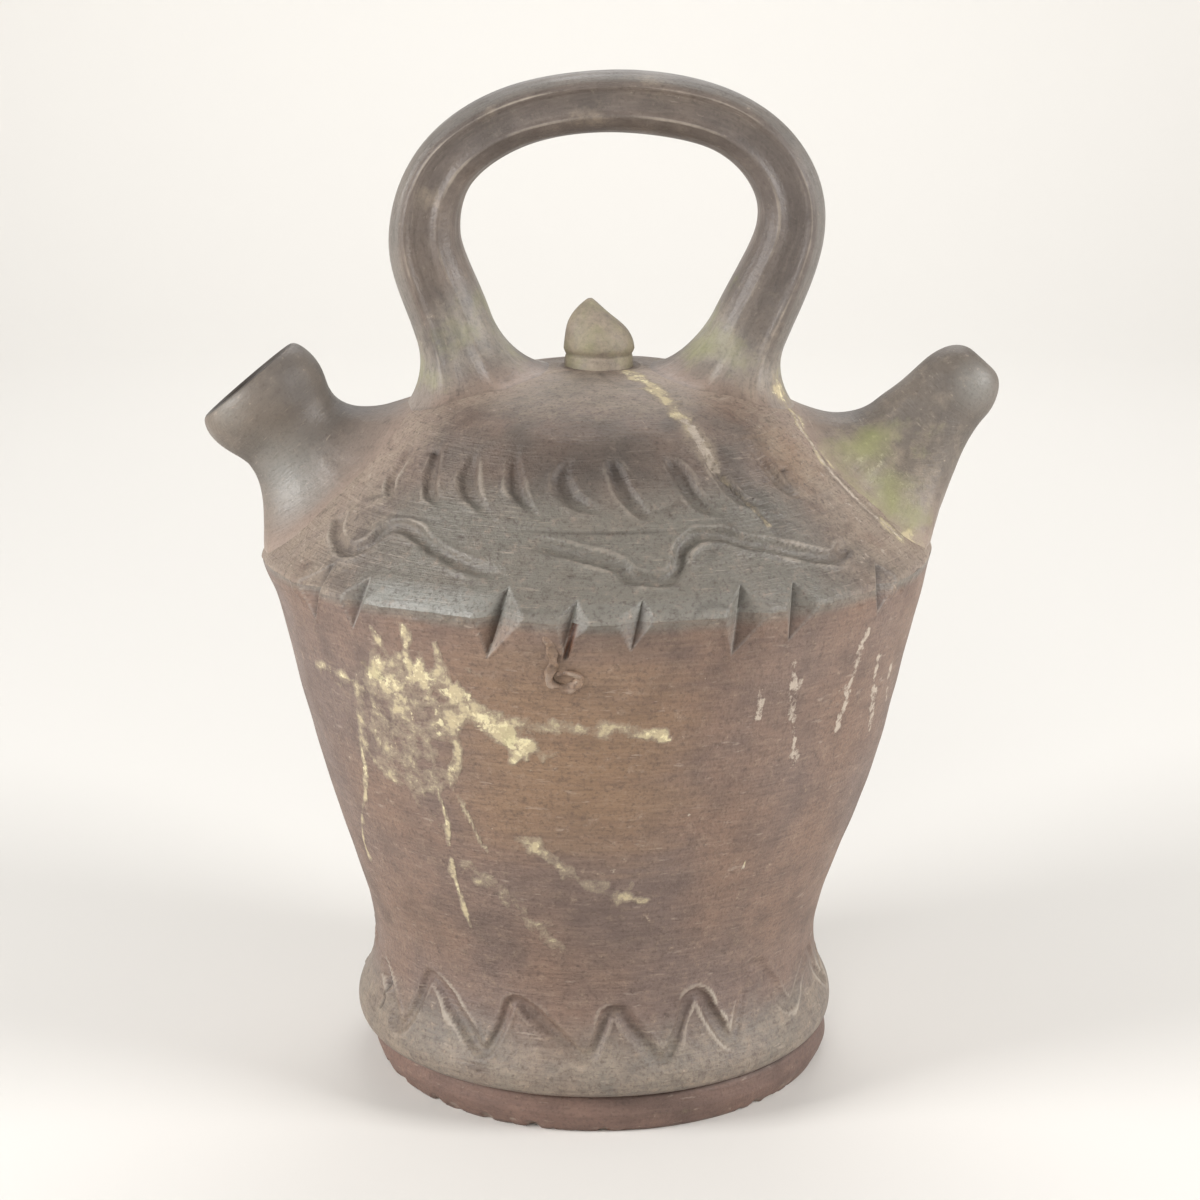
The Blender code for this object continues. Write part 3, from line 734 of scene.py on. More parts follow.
paint(
    paring,
    turned=paring_rings,
    scorch=np.full(crumpled.shape, 0.5),
    # Painted highlight on the crumples that face out.
    worn=0.5 * np.clip(outward, 0, 1) * ease(0, 0.6, crumpled),
    # Painted shade in the crumples' hollows and on the side towards the wall.
    soot=np.maximum(0.3 * ease(0, -0.7, crumpled), 0.6 * ease(0.35, -0.1, outward)),
)
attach(paring, "root")


# Shoulder: the closing cone, thrown with the belly, with a straight flank and a low dome on top.
# Thrown clay; a waved groove and a row of slanting strokes were drawn across the front of the flank.
shoulder_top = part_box("shoulder_cone")[1].z
EDGE_ROLL = (EDGE_RADIUS - 4.0 * MM, EDGE_HEIGHT + 4.8 * MM)
FLANK_TOP = (60 * MM, 201 * MM)
DOME_TOP = (12 * MM, shoulder_top)
PEG_HOLE = 5.8 * MM
# Azimuths and heights in mm of the grooves and the pits. A size is a groove's half width and depth.
WAVED_GROOVES = (
    ((-62, 178.5), (-58, 174.5), (-52, 172), (-47.5, 174), (-45, 178.5), (-40, 179.5), (-30, 175.5),
     (-17.8, 172)),
    ((-12.2, 179.6), (-5, 177.6), (2.8, 175), (5.3, 172.4), (10.9, 171.6), (13.8, 174), (15.4, 178.1),
     (19.6, 180.8), (26.6, 179.2), (40.1, 173.6), (46.1, 171.5), (51.1, 173.5)),
)
WAVED_SIZE = (2.3 * MM, 1.5 * MM)
PITS = ((49, 192.5), (59, 203.5), (-47, 197))
CREASE_HEIGHT = 182
# A stroke's places from where it starts, azimuth and height in mm, and how far the hand strays from them.
STROKE = ((-4.2, 200.5), (-3.2, 194.5), (0.4, 188.5), (6.2, 185))
STROKE_STRAY = (1.7, 1.3)
STROKE_SIZE = (2.7 * MM, 1.45 * MM)
STROKE_COUNT = 9
STROKE_START = -54
STROKE_STEP = 12.4
STROKE_SEED = 81
# Seams where clay was smeared on, as azimuth and radius in mm, from the dome down.
PALE_SEAM = ((35, 14), (29, 37), (28, 60), (30, 68), (33, 74), (35, 80))
SPOUT_SEAM = ((84, 54), (78, 57), (72, 61), (68, 67), (66.5, 73), (67, 80), (68.5, 86.5), (70.5, 92))
DUST_BY_KNOB = (24 * MM, 44.0)
SLOPE = 0.71
roll_pulls = ((EDGE_RADIUS, EDGE_HEIGHT + 1.6 * MM), (EDGE_RADIUS - 1.6 * MM, EDGE_HEIGHT + 2.6 * MM))
flank_pulls = ((86 * MM, 175.8 * MM), (72 * MM, 189.4 * MM))
dome_pulls = ((52 * MM, 208.5 * MM), (34 * MM, shoulder_top - 1.2 * MM))
shoulder_outline = np.vstack(
    [
        bow(belly_edge, *roll_pulls, EDGE_ROLL, 14),
        bow(EDGE_ROLL, *flank_pulls, FLANK_TOP)[1:],
        bow(FLANK_TOP, *dome_pulls, DOME_TOP)[1:],
    ]
)


def height_at(radius):
    """Height of the shoulder's outside at a radius."""
    return np.interp(radius, shoulder_outline[::-1, 0], shoulder_outline[::-1, 1])


def shoulder_spacing(at):
    """Rows lie closest together at the crease and the edge, and wide apart on the plain dome."""
    radius, height = at.T
    flank = np.where(np.abs(height - CREASE_HEIGHT * MM) < 1.6 * MM, 0.4 * MM, 0.7 * MM)
    flank = np.where(height < EDGE_HEIGHT + 8 * MM, 0.65 * MM, flank)
    return np.where(radius < 62 * MM, 2.2 * MM, flank)


def puffed(radius, azimuth, height):
    """Radius and height on the shoulder, out of true: sideways at its edge and square to it higher up."""
    points = round_points(radius, azimuth, height)
    wiped = (0.16 * lumps(points, 7 * MM, 73) + 0.07 * lumps(points, 2.8 * MM, 74)) * MM
    off = out_of_true(points) + crumbly(points) + wiped
    on_flank = ease(EDGE_HEIGHT, EDGE_HEIGHT + 10 * MM, height)
    upward = 0.7 * on_flank + 0.3 * ease(200 * MM, 210 * MM, height)
    outward = np.sqrt(1 - np.clip(upward, 0, 0.995) ** 2)
    return radius + off * outward, height + off * upward + edge_sway(points)


def on_shoulder(radius, azimuth, sunk=0.3 * MM):
    """A spot on the shoulder's outside, sunk into it a little."""
    moved_radius, moved_height = puffed(radius, azimuth, height_at(radius))
    return lean(round_points(moved_radius - 0.7 * sunk, azimuth, moved_height - 0.7 * sunk))


def by_seam(points, seam):
    """Distance from each point to a seam, how far along the seam that is, and the seam's azimuth there."""
    line = smooth(seam, 14)
    radius = line[:, 1] * MM
    distance, index = nearest(points, round_points(radius, line[:, 0], height_at(radius)))
    return distance, index / len(line), line[index, 0]


shoulder_rows = rows_along(shoulder_outline, shoulder_spacing)
shoulder_azimuth = columns + slant(shoulder_rows[:, 1:])
shoulder_radius, shoulder_height = all_round(shoulder_rows)
shoulder_points = round_points(shoulder_radius, shoulder_azimuth, shoulder_height)
shoulder_radius, shoulder_height = puffed(shoulder_radius, shoulder_azimuth, shoulder_height)
carved = np.zeros(shoulder_radius.shape)
for groove in WAVED_GROOVES:
    carved += drawn_groove(shoulder_points, on_wall(smooth(groove), shoulder_outline), *WAVED_SIZE)
hand = np.random.default_rng(STROKE_SEED)
for i in range(STROKE_COUNT):
    leaf = np.array(STROKE) + (STROKE_START + STROKE_STEP * i, 0)
    leaf = smooth(leaf + hand.uniform(-1, 1, leaf.shape) * STROKE_STRAY, 12)
    fullness = hand.uniform(0.8, 1.1) * np.sin(np.linspace(0.35, math.pi - 0.25, len(leaf)))
    leaf = on_wall(leaf, shoulder_outline)
    carved += drawn_groove(shoulder_points, leaf, *[size * fullness for size in STROKE_SIZE])
crease = CREASE_HEIGHT * MM + 0.3 * MM * lumps(shoulder_points, 40 * MM, 7)
ring_drawn = bell(shoulder_points[..., 2] - crease, 0.55 * MM)
ring_drawn *= np.clip(0.5 + 0.8 * lumps(shoulder_points, 36 * MM, 69), 0, 1)
pit_off = np.full(carved.shape, 1.0)
for pit in on_wall(PITS, shoulder_outline):
    pit_off = np.minimum(pit_off, np.linalg.norm((shoulder_points - pit) * (0.5, 0.5, 1.6), axis=-1))
carved += 0.35 * MM * ring_drawn + 1.0 * MM * bell(pit_off, 1.0 * MM)
shoulder_radius = shoulder_radius - SLOPE * carved
# Painted shade and highlight for the notches' facets, taken from the wall before it is notched.
shoulder_dirt, shoulder_bare = notch_marks(shoulder_radius, shoulder_azimuth, shoulder_height)
shoulder_radius = notched(shoulder_radius, shoulder_azimuth, shoulder_height)
shoulder_height = shoulder_height - SLOPE * carved

crown_under = shoulder_top - WALL
crown = np.array([(PEG_HOLE, shoulder_top), (PEG_HOLE, crown_under), (DOME_TOP[0], crown_under)])
under_dome = shoulder_outline[60::9][::-1] + np.array((-0.35 * WALL, -0.93 * WALL))
under_dome = under_dome[under_dome[:, 0] < FLANK_TOP[0] - 8 * MM]
flank_under = (FLANK_TOP[0] - 4.2 * MM, FLANK_TOP[1] - 4.3 * MM)
under_rows = np.vstack([crown, under_dome, flank_under, (EDGE_RADIUS - WALL, EDGE_HEIGHT)])
shoulder_outside = lean(round_points(shoulder_radius, shoulder_azimuth, shoulder_height))
shoulder_inside = lean(round_points(under_rows[:, :1], columns, under_rows[:, 1:]))
shoulder = skin("shoulder", np.concatenate([shoulder_outside, shoulder_inside]), loop=True)
# Thrown, then wiped with a wet hand: few drag lines, and grit that shows through a matt skin.
wiped_clay = smoked_clay(
    "wiped_smoked_clay", "826c5f", "75675f", "50443e", "9e8c7e", 0.52, 0.9 * MM, 0.12, 1.3
)
shoulder.data.materials.append(wiped_clay)
unrolled = shoulder_points * np.array((0.6, 0.6, 1))
unrolled[..., 2] += (EDGE_RADIUS - shoulder_rows[:, :1]) * 0.8
side = from_front(shoulder_azimuth)
up = shoulder_height / MM
in_front = ease(56, 34, np.abs(side))
beside = (1 - in_front) * ease(115, 85, np.abs(side))
rubbed = np.clip(0.5 + 0.7 * lumps(shoulder_points, 16 * MM, 68), 0, 1)
# Painted highlight along the rounded edge to the left and right of the front, on a smoother skin.
edge_rubbed = np.maximum(0.8 * bell(side + 29, 14, 4), 0.25 * bell(side - 14, 26, 4))
edge_rubbed *= ease(EDGE_HEIGHT + 8 * MM, EDGE_HEIGHT + 3.5 * MM, shoulder_height)
from_axis = np.abs(shoulder_points[..., 0])
by_tubes = ease(62 * MM, 32 * MM, np.hypot(from_axis - 80 * MM, shoulder_points[..., 1]))
by_strap = ease(40 * MM, 20 * MM, np.hypot(from_axis - 37 * MM, shoulder_points[..., 1]))

# Lime and chalk crust the seams and dust lies on the dome. The sides get dust and a painted lighter tone for
# the light that falls there, and the pits, the grooves and the crease get painted shade.
seam_distance, seam_share, seam_side = by_seam(shoulder_points, PALE_SEAM)
seam_width = (3.4 - 2.4 * ease(0.2, 0.65, seam_share)) * MM * (1 + 0.6 * lumps(shoulder_points, 4 * MM, 67))
seam_crust = 1.12 - 0.3 * ease(0.25, 0.4, seam_share) + 0.2 * ease(0.6, 0.7, seam_share)
seam_crust *= crust(seam_distance, np.maximum(seam_width, 0.4 * MM))
seam_chalk = 0.9 * crust(seam_distance, 2.2 * MM) * ease(0.2, 0.35, seam_share) * ease(0.7, 0.5, seam_share)
right_of_seam = (side > seam_side) * ease(0.3, 0.5, seam_share)
spout_distance, spout_share, _ = by_seam(shoulder_points, SPOUT_SEAM)
spout_crusted = np.maximum(ease(0.62, 0.5, spout_share), ease(0.76, 0.88, spout_share))
spout_width = (1.8 + 2.2 * ease(0.76, 0.9, spout_share)) * MM
spout_crust = 1.15 * spout_crusted * crust(spout_distance, spout_width)
whitened = [seam_chalk, 0.82 * crust(spout_distance, 1.3 * MM), 0.4 * beside, 0.12 * in_front]
from_knob = np.linalg.norm(shoulder_points - round_points(*DUST_BY_KNOB, shoulder_top), axis=-1)
dusty = [
    0.62 * ease(203, 210, up),
    0.4 * bell(side - 56, 18) * ease(178, 192, up),
    0.75 * bell(from_knob, 14 * MM),
    0.9 * bell(seam_distance, 5 * MM) * ease(0.7, 0.4, seam_share),
    # The sides: dust, and a painted lighter tone for the light that falls there.
    0.55 * beside,
]
# Fine wrinkle lines painted in as shade, with no relief of their own.
wrinkled = bell(lumps(shoulder_points, 15 * MM, 75), 0.11)
wrinkled *= ease(0.1, 0.5, lumps(shoulder_points, 11 * MM, 76)) * ease(95, 70, np.abs(side))
# Darker right of the seam and dark lines along the seams; painted shade along the wrinkles, in the pits, the
# crease and the grooves and on the notches; and a darker patch across the front of the flank at about 198 mm.
smoked = [
    0.38 * right_of_seam * bell(seam_distance - 4 * MM, 4 * MM),
    0.3 * wrinkled,
    0.8 * bell(pit_off, 0.8 * MM),
    0.4 * ring_drawn * in_front,
    0.16 * ease(0.3 * MM, 1.2 * MM, carved) + 0.56 * bell(side + 4, 32) * bell(up - 198, 8),
    0.6 * bell(seam_distance, 0.8 * MM) * ease(0.45, 0.7, seam_share),
    0.3 * bell(spout_distance - 2 * MM, 0.8 * MM) * (1 - spout_crusted),
    shoulder_dirt,
]
paint(
    shoulder,
    turned=unrolled,
    worked=np.maximum(by_tubes, by_strap),
    ash=(0.35 + 0.65 * in_front) * (0.36 + 0.56 * ease(197, 183, up)),
    scorch=0.55 * bell(side - 54, 13) * bell(up - 195, 9),
    film=np.max(dusty, axis=0),
    # Painted highlight along the edge and on the notches' lit facets.
    burnish=np.maximum(edge_rubbed, 0.8 * shoulder_bare),
    lime=np.maximum(seam_crust, spout_crust),
    chalk=np.max(whitened, axis=0),
    # Pale wear and painted highlight on the grooves' raised lips.
    worn=0.8 * rubbed * ease(0.05 * MM, 0.4 * MM, -carved),
    soot=np.max(smoked, axis=0),
)

# The bores of the filling mouth and the drinking spout go through the flank.
MOUTH_SEAT = Vector((-79.3, 0, 181.0)) * MM
MOUTH_LEAN = math.radians(-39.5)
SPOUT_SEAT = Vector((80.6, 0, 179.0)) * MM
SPOUT_LEAN = math.radians(41.6)
BORE_RADIUS = 10.5 * MM
BORE_REACH = (0, 0, 22 * MM)
for seat, tilt in ((MOUTH_SEAT, MOUTH_LEAN), (SPOUT_SEAT, SPOUT_LEAN)):
    turned = np.radians(np.linspace(0, 360, 48, endpoint=False))
    circle = stacked(BORE_RADIUS * np.cos(turned), BORE_RADIUS * np.sin(turned), 0)
    drill = skin("drill", np.stack([circle - BORE_REACH, circle + BORE_REACH]), fans=True)
    drill.data.transform(Matrix.Translation(seat) @ Matrix.Rotation(tilt, 4, "Y"))
    bore = shoulder.modifiers.new("bore", "BOOLEAN")
    bore.object = drill
    bore.solver = "EXACT"
    bored = bpy.data.meshes.new_from_object(shoulder.evaluated_get(bpy.context.evaluated_depsgraph_get()))
    shoulder.modifiers.clear()
    shoulder.data = bored
    bpy.data.objects.remove(drill)
shoulder.data.name = "shoulder"
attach(shoulder, "root")
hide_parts("shoulder_cone")


# Closing knob: a pinched plug of clay that closes the hole at the top of the dome.
# Hand-formed from the same clay, with a peg in the hole, a squat neck and a cap pinched to a tip.
knob_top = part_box("closing_knob")[1].z
knob_seat = shoulder_top + 0.3 * MM
knob_brim = knob_seat + 3.6 * MM
peg_foot = knob_seat - 9 * MM
KNOB_STEP = 4.0
knob_outline = np.vstack(
    [
        [(2 * MM, peg_foot), (4.9 * MM, peg_foot), (5.5 * MM, peg_foot + 1 * MM)],
        [(5.5 * MM, knob_seat - 0.8 * MM), (10.2 * MM, knob_seat - 0.6 * MM)],
        [(10.0 * MM, knob_seat + 1.2 * MM), (9.8 * MM, knob_brim - 0.9 * MM)],
        [(9.6 * MM, knob_brim - 0.2 * MM), (10.0 * MM, knob_brim + 0.5 * MM)],
        bow(
            (10.4 * MM, knob_brim + 1.4 * MM), (10.2 * MM, knob_brim + 8.5 * MM),
            (3.6 * MM, knob_top - 2.2 * MM), (0.7 * MM, knob_top - 0.1 * MM), 26,
        ),
    ]
)
knob_azimuth = np.arange(0, 360, KNOB_STEP)
knob_points = round_points(knob_outline[:, :1] + 0 * knob_azimuth, knob_azimuth, knob_outline[:, 1:])
above = ease(knob_brim, knob_top, knob_points[..., 2])
pinched = 1 - 0.05 * above * np.cos(np.radians(3 * knob_azimuth + 40))
knob_rings = knob_points * stacked(pinched, pinched, 1)
outer = (knob_outline[:, :1] > 6 * MM) | (knob_outline[:, 1:] > knob_brim)
knob_rings += (0.22 * MM * lumps(knob_points, 6 * MM, 21) * outer)[..., None] * np.array((1, 1, 0.3))
knob_rings[..., 0] += 0.6 * MM - 2.6 * MM * above**1.4
knob = skin("closing_knob_cap", knob_rings, fans=True)
# Smoothed with wet fingers and smoke-fired: a slate-grey skin, finer and a little less matt than thrown clay.
smoothed_clay = smoked_clay(
    "smoothed_smoked_clay", "786d62", "6c645d", "474039", "94897c", 0.48, 0.7 * MM, 0.08, 0.6
)
knob.data.materials.append(smoothed_clay)
paint(
    knob,
    turned=knob_points,
    film=np.full(above.shape, 0.85),
    lichen=np.full(above.shape, 0.32),
    # Painted shade in the crease where the cap meets the neck.
    soot=0.34 * bell(knob_points[..., 2] - knob_brim, 0.6 * MM),
)
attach(knob, "root")
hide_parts("closing_knob")


# Filling mouth: a short wide tube with a rolled lip, where the jug is filled.
# Thrown apart and luted onto the flank with a coil of clay that was smoothed out into a wide root.
TUBE_STEP = 3.0
TUBE_RINGS = 24
ROOT_RINGS = 22
ROOT_SPREAD = 31 * MM
# How many rings down the bore get painted shade.
MOUTH_BORE_RINGS = 19
# The last rings stay round: they lie in the shoulder's bore.
TRUE_RINGS = 6
mouth_side = np.vstack(
    [
        bow((16.0, 8), (16.0, 12), (16.0, 15), (16.2, 18), 8),
        bow((16.2, 18), (16.5, 22.5), (19.0, 24.5), (19.0, 30.8), 16)[1:],
    ]
) * MM
mouth_lip = np.vstack(
    [
        bow((19.0, 30.8), (19.0, 35.2), (17.8, 38.0), (15.6, 38.0), 10)[1:],
        bow((15.6, 38.0), (14.2, 38.0), (13.2, 37.2), (12.9, 35.5), 8)[1:],
        bow((12.9, 35.5), (12.6, 30), (10.5, 27), (10.5, 20), 10)[1:],
        [(10.5, -4.0)],
    ]
) * MM
# Painted highlights, where the skin is also made less rough: a place in mm, the reach in mm and the strength.
MOUTH_RUBBED = (((-92, -23, 185), 13, 0.8), ((-106, -12, 205), 7, 0.6))


def swept(start, start_pull, end_pull, end, steps):
    """Rings from a ring to another without the last, each point on a Bezier curve of its own."""
    return bezier(np.linspace(0, 1, steps)[:-1, None, None], start, start_pull, end_pull, end)


def footing(aim):
    """Where points over the shoulder land on it."""
    return on_shoulder(
        np.minimum(np.hypot(aim[:, 0], aim[:, 1]), EDGE_RADIUS - 0.7 * MM),
        np.degrees(np.arctan2(aim[:, 0], -aim[:, 1])),
    )


def spotted(points, spots):
    """How strongly spots show at each point, for their places in mm, reaches in mm and strengths."""
    shown = np.zeros(points.shape[:-1])
    for place, reach, strength in spots:
        away = np.linalg.norm(points - np.array(place) * MM, axis=-1)
        shown = np.maximum(shown, strength * bell(away, reach * MM))
    return shown


def rooted_tube(name, side, lip, seat, tilt, climb, outer, seed):
    """A tube on the flank whose foot sweeps out and runs into the flank all round.

    side is the tube's outside as (radius, height along its axis), and lip goes on from it, down the bore.
    climb is where the root begins on the side towards the dome and on the outer side.
    outer is +1 or -1: the way to the jug's edge along the tube's own X.
    """
    turned = np.radians(np.arange(0, 360, TUBE_STEP))
    turning = np.array(Matrix.Rotation(tilt, 3, "Y"))
    start = np.array(seat)
    axis = turning[:, 2]
    to_edge = ease(-0.1, 1, outer * np.cos(turned))
    begin = climb[0] + (climb[1] - climb[0]) * to_edge

    def placed(radius, along):
        return stacked(radius * np.cos(turned), radius * np.sin(turned), along) @ turning.T + start

    heights = [begin + (side[-1, 1] - begin) * share for share in np.linspace(0, 1, TUBE_RINGS)]
    tube = [placed(np.interp(height, side[:, 1], side[:, 0]), height) for height in heights]
    tube = np.stack(tube + [placed(radius, along) for radius, along in lip])

    # The root leaves the flank along its slope, or straight on the outer side, and joins the tube's own side.
    outward = placed(1, 0) - start
    aim = start + outward * (ROOT_SPREAD + 5 * MM * ease(0, 1, -outer * np.cos(turned)))[:, None]
    foot = footing(aim)
    glide = foot - footing(aim - 2 * MM * outward)
    glide /= np.linalg.norm(glide, axis=1, keepdims=True) + 1e-6
    straight = np.maximum(to_edge, 0.3 * ease(0.3, 1, -outer * np.cos(turned)))[:, None]
    reach = tube[0] - foot
    down = unit(tube[0] - tube[1])
    soft = foot - (1 - straight) * 11 * MM * glide + straight * 0.3 * reach
    rise = tube[0] + ((1 - straight) * 0.62 * climb[0] + straight * 7 * MM) * down - straight * 0.12 * reach
    root = swept(foot, soft, rise, tube[0], ROOT_RINGS)
    rings = np.concatenate([root, tube])
    root_run = np.linspace(-12 * MM, climb[0], len(root) + 1)[:-1]
    run = np.concatenate([root_run, climb[0] + 1 * MM * np.arange(len(tube))])
    marks = stacked(20 * MM * np.cos(turned), 20 * MM * np.sin(turned), run[:, None])

    outside = np.ones(len(rings))
    outside[0] = 0
    outside[-TRUE_RINGS:] = 0
    bulge = 0.32 * lumps(rings, 14 * MM, seed) + 0.12 * lumps(rings, 5 * MM, seed + 1)
    away = unit(rings - (start + ((rings - start) @ axis)[..., None] * axis))
    rings = rings + away * (bulge * outside[:, None] * MM)[..., None]
    made = skin(name, rings, loop=True)
    made.data.materials.append(smoothed_clay)
    from_foot = np.arange(len(rings))[:, None] + 0 * turned
    paint(made, turned=marks, worked=ease(21, 3, from_foot) * (1 - 0.4 * ease(0, 7, from_foot)))
    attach(made, "root")
    return made, rings


mouth, mouth_rings = rooted_tube(
    "filling_mouth_tube", mouth_side, mouth_lip, MOUTH_SEAT, MOUTH_LEAN, (21 * MM, 19 * MM), -1, 31
)
# Painted shade down the bore.
inward = np.zeros(mouth_rings.shape[:2])
inward[-MOUTH_BORE_RINGS:] = 0.8
from_seam, _ = nearest(mouth_rings, mouth_rings[0])
# Painted highlights on the tube, kept off its seam.
rubbed = spotted(mouth_rings, MOUTH_RUBBED) * ease(1 * MM, 8 * MM, from_seam)
paint(mouth, soot=inward, burnish=rubbed)
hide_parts("filling_mouth", "mouth_luting_coil")


# Drinking spout: a thick tapered teat with a round end and a small hole, to drink from in a thin jet.
# Made apart over a stick and luted on like the mouth; lime and lichen grew where its root meets the flank.
spout_side = bow((16.4, 8), (15.6, 20), (13.2, 30), (12.3, 38), 20) * MM
spout_lip = np.vstack(
    [
        bow((12.3, 38), (11.8, 45), (8.8, 50), (3.8, 50), 14)[1:],
        [(3.0, 49.4), (2.8, 48), (2.8, 43), (6.8, 37), (10.5, 16), (10.5, -4.0)],
    ]
) * MM
# Spots as a place in mm, the reach in mm and the strength. Lime also has its width along the seam in mm.
SPOUT_LIME = (((57.5, -17, 201), 9, 1.2, 7), ((64.5, -26.5, 191), 8, 1.15, 6), ((90, -28, 168), 9, 1.2, 6))
SPOUT_LICHEN = (((79, -21, 195), 12, 0.85), ((85, -25, 182), 19, 0.62))
# A painted highlight on the tip, and painted shade in the crease beside the seam.
SPOUT_RUBBED = (((112, -12, 211), 8, 0.6),)
SPOUT_CREASE = (((76, -30, 180), 10, 0.4),)
spout, spout_rings = rooted_tube(
    "drinking_spout_teat", spout_side, spout_lip, SPOUT_SEAT, SPOUT_LEAN, (19 * MM, 30 * MM), 1, 41
)
from_seam, _ = nearest(spout_rings, spout_rings[0])
crusted = [spotted(spout_rings, [spot]) * crust(from_seam, width * MM) for *spot, width in SPOUT_LIME]
greened = spotted(spout_rings, SPOUT_LICHEN)
paint(
    spout,
    film=0.28 + 0.6 * greened,
    burnish=spotted(spout_rings, SPOUT_RUBBED),
    lime=np.max(crusted, axis=0),
    chalk=0.8 * greened,
    lichen=greened,
    soot=spotted(spout_rings, SPOUT_CREASE) * bell(from_seam - 3 * MM, 1.2 * MM),
)
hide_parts("drinking_spout", "spout_luting_coil")


# Carrying handle: a pulled strap that arches over the knob from one side of the dome to the other.
# Pulled by wet hands, so that ridges run along it, and its feet were smeared out onto the dome.
HANDLE_LINE = (
    (-33.0, 198), (-42.5, 227), (-50.3, 252), (-44.2, 273), (-24.0, 286.6), (6.1, 291.5),
    (35.3, 286.5), (52.0, 273), (56.3, 254), (45.2, 227), (32.0, 198),
)
# Thickness and depth of the strap at its crest, and how much more it has at its feet.
CREST_SIZE = np.array((17.4, 24.0)) * MM
FOOT_GROWTH = np.array((9.1, 6.0)) * MM
STRAP_POINTS = 112
STRAP_SQUARENESS = 0.8
RIDGES = (-0.44, 0.52)
CHANNEL = sum(RIDGES) / 2
STRAP_FOOT = 198 * MM
ROOT_TOP = 226 * MM
ROOT_RUN = 25 * MM
# Spots as a place in mm, the reach in mm and the strength.
HANDLE_DUST = (
    ((46, -18, 214), 12, 0.6), ((-49, -11, 265), 5, 0.75), ((-38, -20, 222), 11, 0.55),
    ((-2, -12, 286), 7, 0.7), ((16, -9, 297), 6, 0.6), ((-30, -10, 288), 5, 0.55),
)
HANDLE_LIME = (((54, -11, 209), 7, 1.3), ((28, -9, 224), 4, 0.95))


def squared(wave):
    """A sine or cosine pushed outwards, so that the round that it draws is squarer."""
    return np.sign(wave) * np.abs(wave) ** STRAP_SQUARENESS


def strap_section(thickness, depth):
    """The strap's section: a rounded bar with a hollow between two ridges down its front and its back."""
    turned = np.linspace(0, math.tau, STRAP_POINTS, endpoint=False)
    across = squared(np.cos(turned))
    deep = squared(np.sin(turned))
    hollow = 0.13 * bell(across - CHANNEL, 0.38, 4)
    for ridge in RIDGES:
        hollow -= 0.05 * bell(across - ridge, 0.09)
    return across * thickness / 2, deep * (1 - hollow) * depth / 2


def smeared_foot(ring, way, steps=20):
    """Rings from the end of the strap out to a foot on the dome, the lowest first."""
    way = np.array((way[0], 0, way[1]))
    plan = unit((ring - ring.mean(axis=0)) * np.array((1, 1, 0)))
    drop = ring[:, 2] - height_at(np.hypot(ring[:, 0], ring[:, 1]))
    landing = ring + way * (drop / -way[2])[:, None]
    aim = landing + plan * 13 * MM
    foot = footing(aim)
    glide = unit(foot - footing(aim - plan * 2 * MM))
    return swept(foot, foot - glide * 9 * MM, ring + way * 8 * MM, ring, steps)


strap_line = smooth(HANDLE_LINE, 16) * MM
strap_line = strap_line[strap_line[:, 1] > ROOT_TOP]
crest = strap_line[:, 1].max()
strap_way = unit(np.gradient(strap_line, axis=0))
strap_run = np.concatenate([[0], np.cumsum(np.linalg.norm(np.diff(strap_line, axis=0), axis=1))])
strap_rings = []
for (x, z), (way_x, way_z) in zip(strap_line, strap_way):
    low = ((crest - z) / (crest - STRAP_FOOT)) ** 1.3
    across, deep = strap_section(*(CREST_SIZE + FOOT_GROWTH * low))
    strap_rings.append(stacked(x - way_z * across, deep, z + way_x * across))
left_foot = smeared_foot(strap_rings[0], -strap_way[0])
right_foot = smeared_foot(strap_rings[-1], strap_way[-1])[::-1]
handle_rings = np.concatenate([left_foot, strap_rings, right_foot])
left_run = np.linspace(-ROOT_RUN, -1 * MM, len(left_foot))
right_run = strap_run[-1] + np.linspace(1 * MM, ROOT_RUN, len(right_foot))
handle_run = np.concatenate([left_run, strap_run, right_run])[:, None]
away = unit(handle_rings - handle_rings.mean(axis=1, keepdims=True))
free = np.ones((len(handle_rings), 1))
free[[0, -1]] = 0
pulled = stacked(np.arange(STRAP_POINTS) * 1.0 * MM, 0, handle_run * 0.08)
uneven = 0.35 * lumps(handle_rings, 20 * MM, 51) + 0.12 * lumps(pulled, 2.4 * MM, 52)
handle_rings = (handle_rings + away * (uneven * free * MM)[..., None])[:, ::-1]
handle = skin("carrying_handle_strap", handle_rings, fans=True)
# Pulled with wet hands and smoke-fired: a dark skin, smooth to the touch, with drag lines along it.
pulled_clay = smoked_clay(
    "pulled_smoked_clay", "776a60", "6a605a", "463e38", "93877b", 0.46, 0.8 * MM, 0.3, 0.7
)
handle.data.materials.append(pulled_clay)
turned = np.linspace(0, math.tau, STRAP_POINTS, endpoint=False)[::-1]
round_strap = 12 * MM * np.sin(turned) + 8 * MM * np.cos(turned)
ring_index = np.arange(len(handle_rings))
from_foot = np.minimum(ring_index, ring_index[::-1])[:, None] + 0 * turned
worked = ease(18, 2, from_foot)
feathered = ease(0, 12, from_foot)
patchy = np.clip(0.75 + 0.5 * lumps(handle_rings, 12 * MM, 54), 0.2, 1)
greyed = ease(36, 14, from_foot) * feathered * patchy
across = squared(np.cos(turned))
ridged = sum(bell(across - ridge, 0.04) for ridge in RIDGES)
# Patches of painted highlight along the ridges.
worn_away = np.clip(0.5 + 0.6 * lumps(handle_rings, 14 * MM, 53), 0.1, 1)
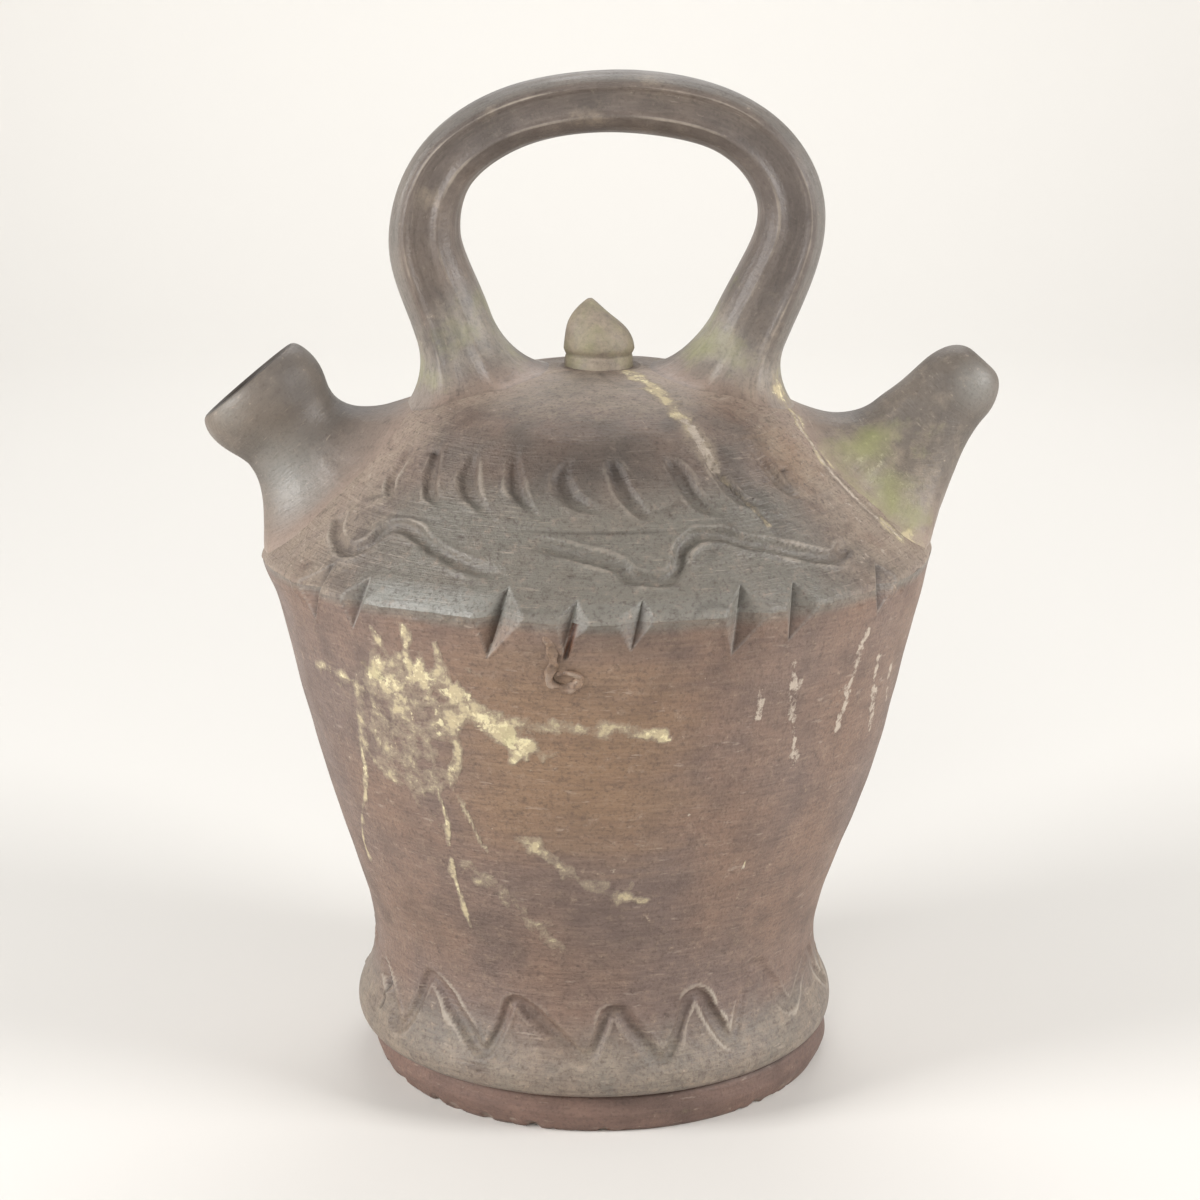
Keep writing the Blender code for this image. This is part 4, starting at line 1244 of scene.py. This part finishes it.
# Painted shade in the channel between the ridges.
channel = 0.27 * bell(across - CHANNEL, 0.36, 4) * (1 - 0.7 * greyed)
paint(
    handle,
    turned=stacked(handle_run, 0, round_strap),
    worked=worked * (1 - 0.4 * feathered),
    film=np.maximum(spotted(handle_rings, HANDLE_DUST), 0.75 * greyed),
    # A painted highlight on the strap's outer side, and the feet's paler grey.
    burnish=np.maximum(0.4 * ease(0.56, 0.75, across), 0.5 * greyed),
    lime=spotted(handle_rings, HANDLE_LIME),
    # Painted highlight along the ridges, fading at the feet.
    worn=ridged * worn_away * (1 - 0.8 * worked),
    lichen=np.maximum(0.5 * worked * feathered, 0.36 * greyed),
    # Painted shade in the channel and along the edge of each foot, where it meets the dome.
    soot=np.maximum(channel, 0.3 * (from_foot < 3)),
)
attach(handle, "root")
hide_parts("carrying_handle", "handle_luting_left", "handle_luting_right")


# Studio: a pale floor that rises into a low wall all round, and soft boxes round the jug.
FLOOR_STEP = 4.0
floor_outline = np.vstack([[(0.02, 0), (1.5, 0)], bow((1.5, 0), (2.1, 0), (2.4, 0.3), (2.4, 0.9), 14)])
floor_azimuth = np.arange(0, 360, FLOOR_STEP)
floor = skin("floor", round_points(floor_outline[:, :1], floor_azimuth, floor_outline[:, 1:])[::-1])
# Pale seamless paper: an even, quite matt ground.
paper = bpy.data.materials.new("pale_paper")
paper.use_nodes = True
paper_shader = paper.node_tree.nodes["Principled BSDF"]
paper_shader.inputs["Base Color"].default_value = linear("ebe8e3")
paper_shader.inputs["Roughness"].default_value = 0.9
floor.data.materials.append(paper)
jug_middle = (0, 0, 0.15)
for name, place, aim, size, watts in (
    ("left_box", (-1.35, -0.55, 0.72), jug_middle, 0.6, 21),
    ("right_box", (1.35, -0.5, 0.76), jug_middle, 0.6, 19),
    ("front_box", (-0.2, -1.5, 0.95), jug_middle, 0.5, 5),
    ("back_box", (0.1, 0.9, 1.3), jug_middle, 0.8, 5),
    ("floor_box", (0, 1.7, 1.2), (0, 1.9, 0), 1.6, 12),
):
    lamp = bpy.data.objects.new(name, bpy.data.lights.new(name, "AREA"))
    lamp.data.size = size
    lamp.data.energy = watts
    lamp.location = place
    lamp.rotation_euler = (Vector(aim) - Vector(place)).to_track_quat("-Z", "Y").to_euler()
    bpy.context.scene.collection.objects.link(lamp)
world = bpy.data.worlds.new("studio")
world.use_nodes = True
sky = world.node_tree.nodes["Background"]
sky.inputs["Color"].default_value = linear("f2f0ec")
sky.inputs["Strength"].default_value = 0.2
bpy.context.scene.world = world
bpy.context.scene.view_settings.view_transform = "Standard"
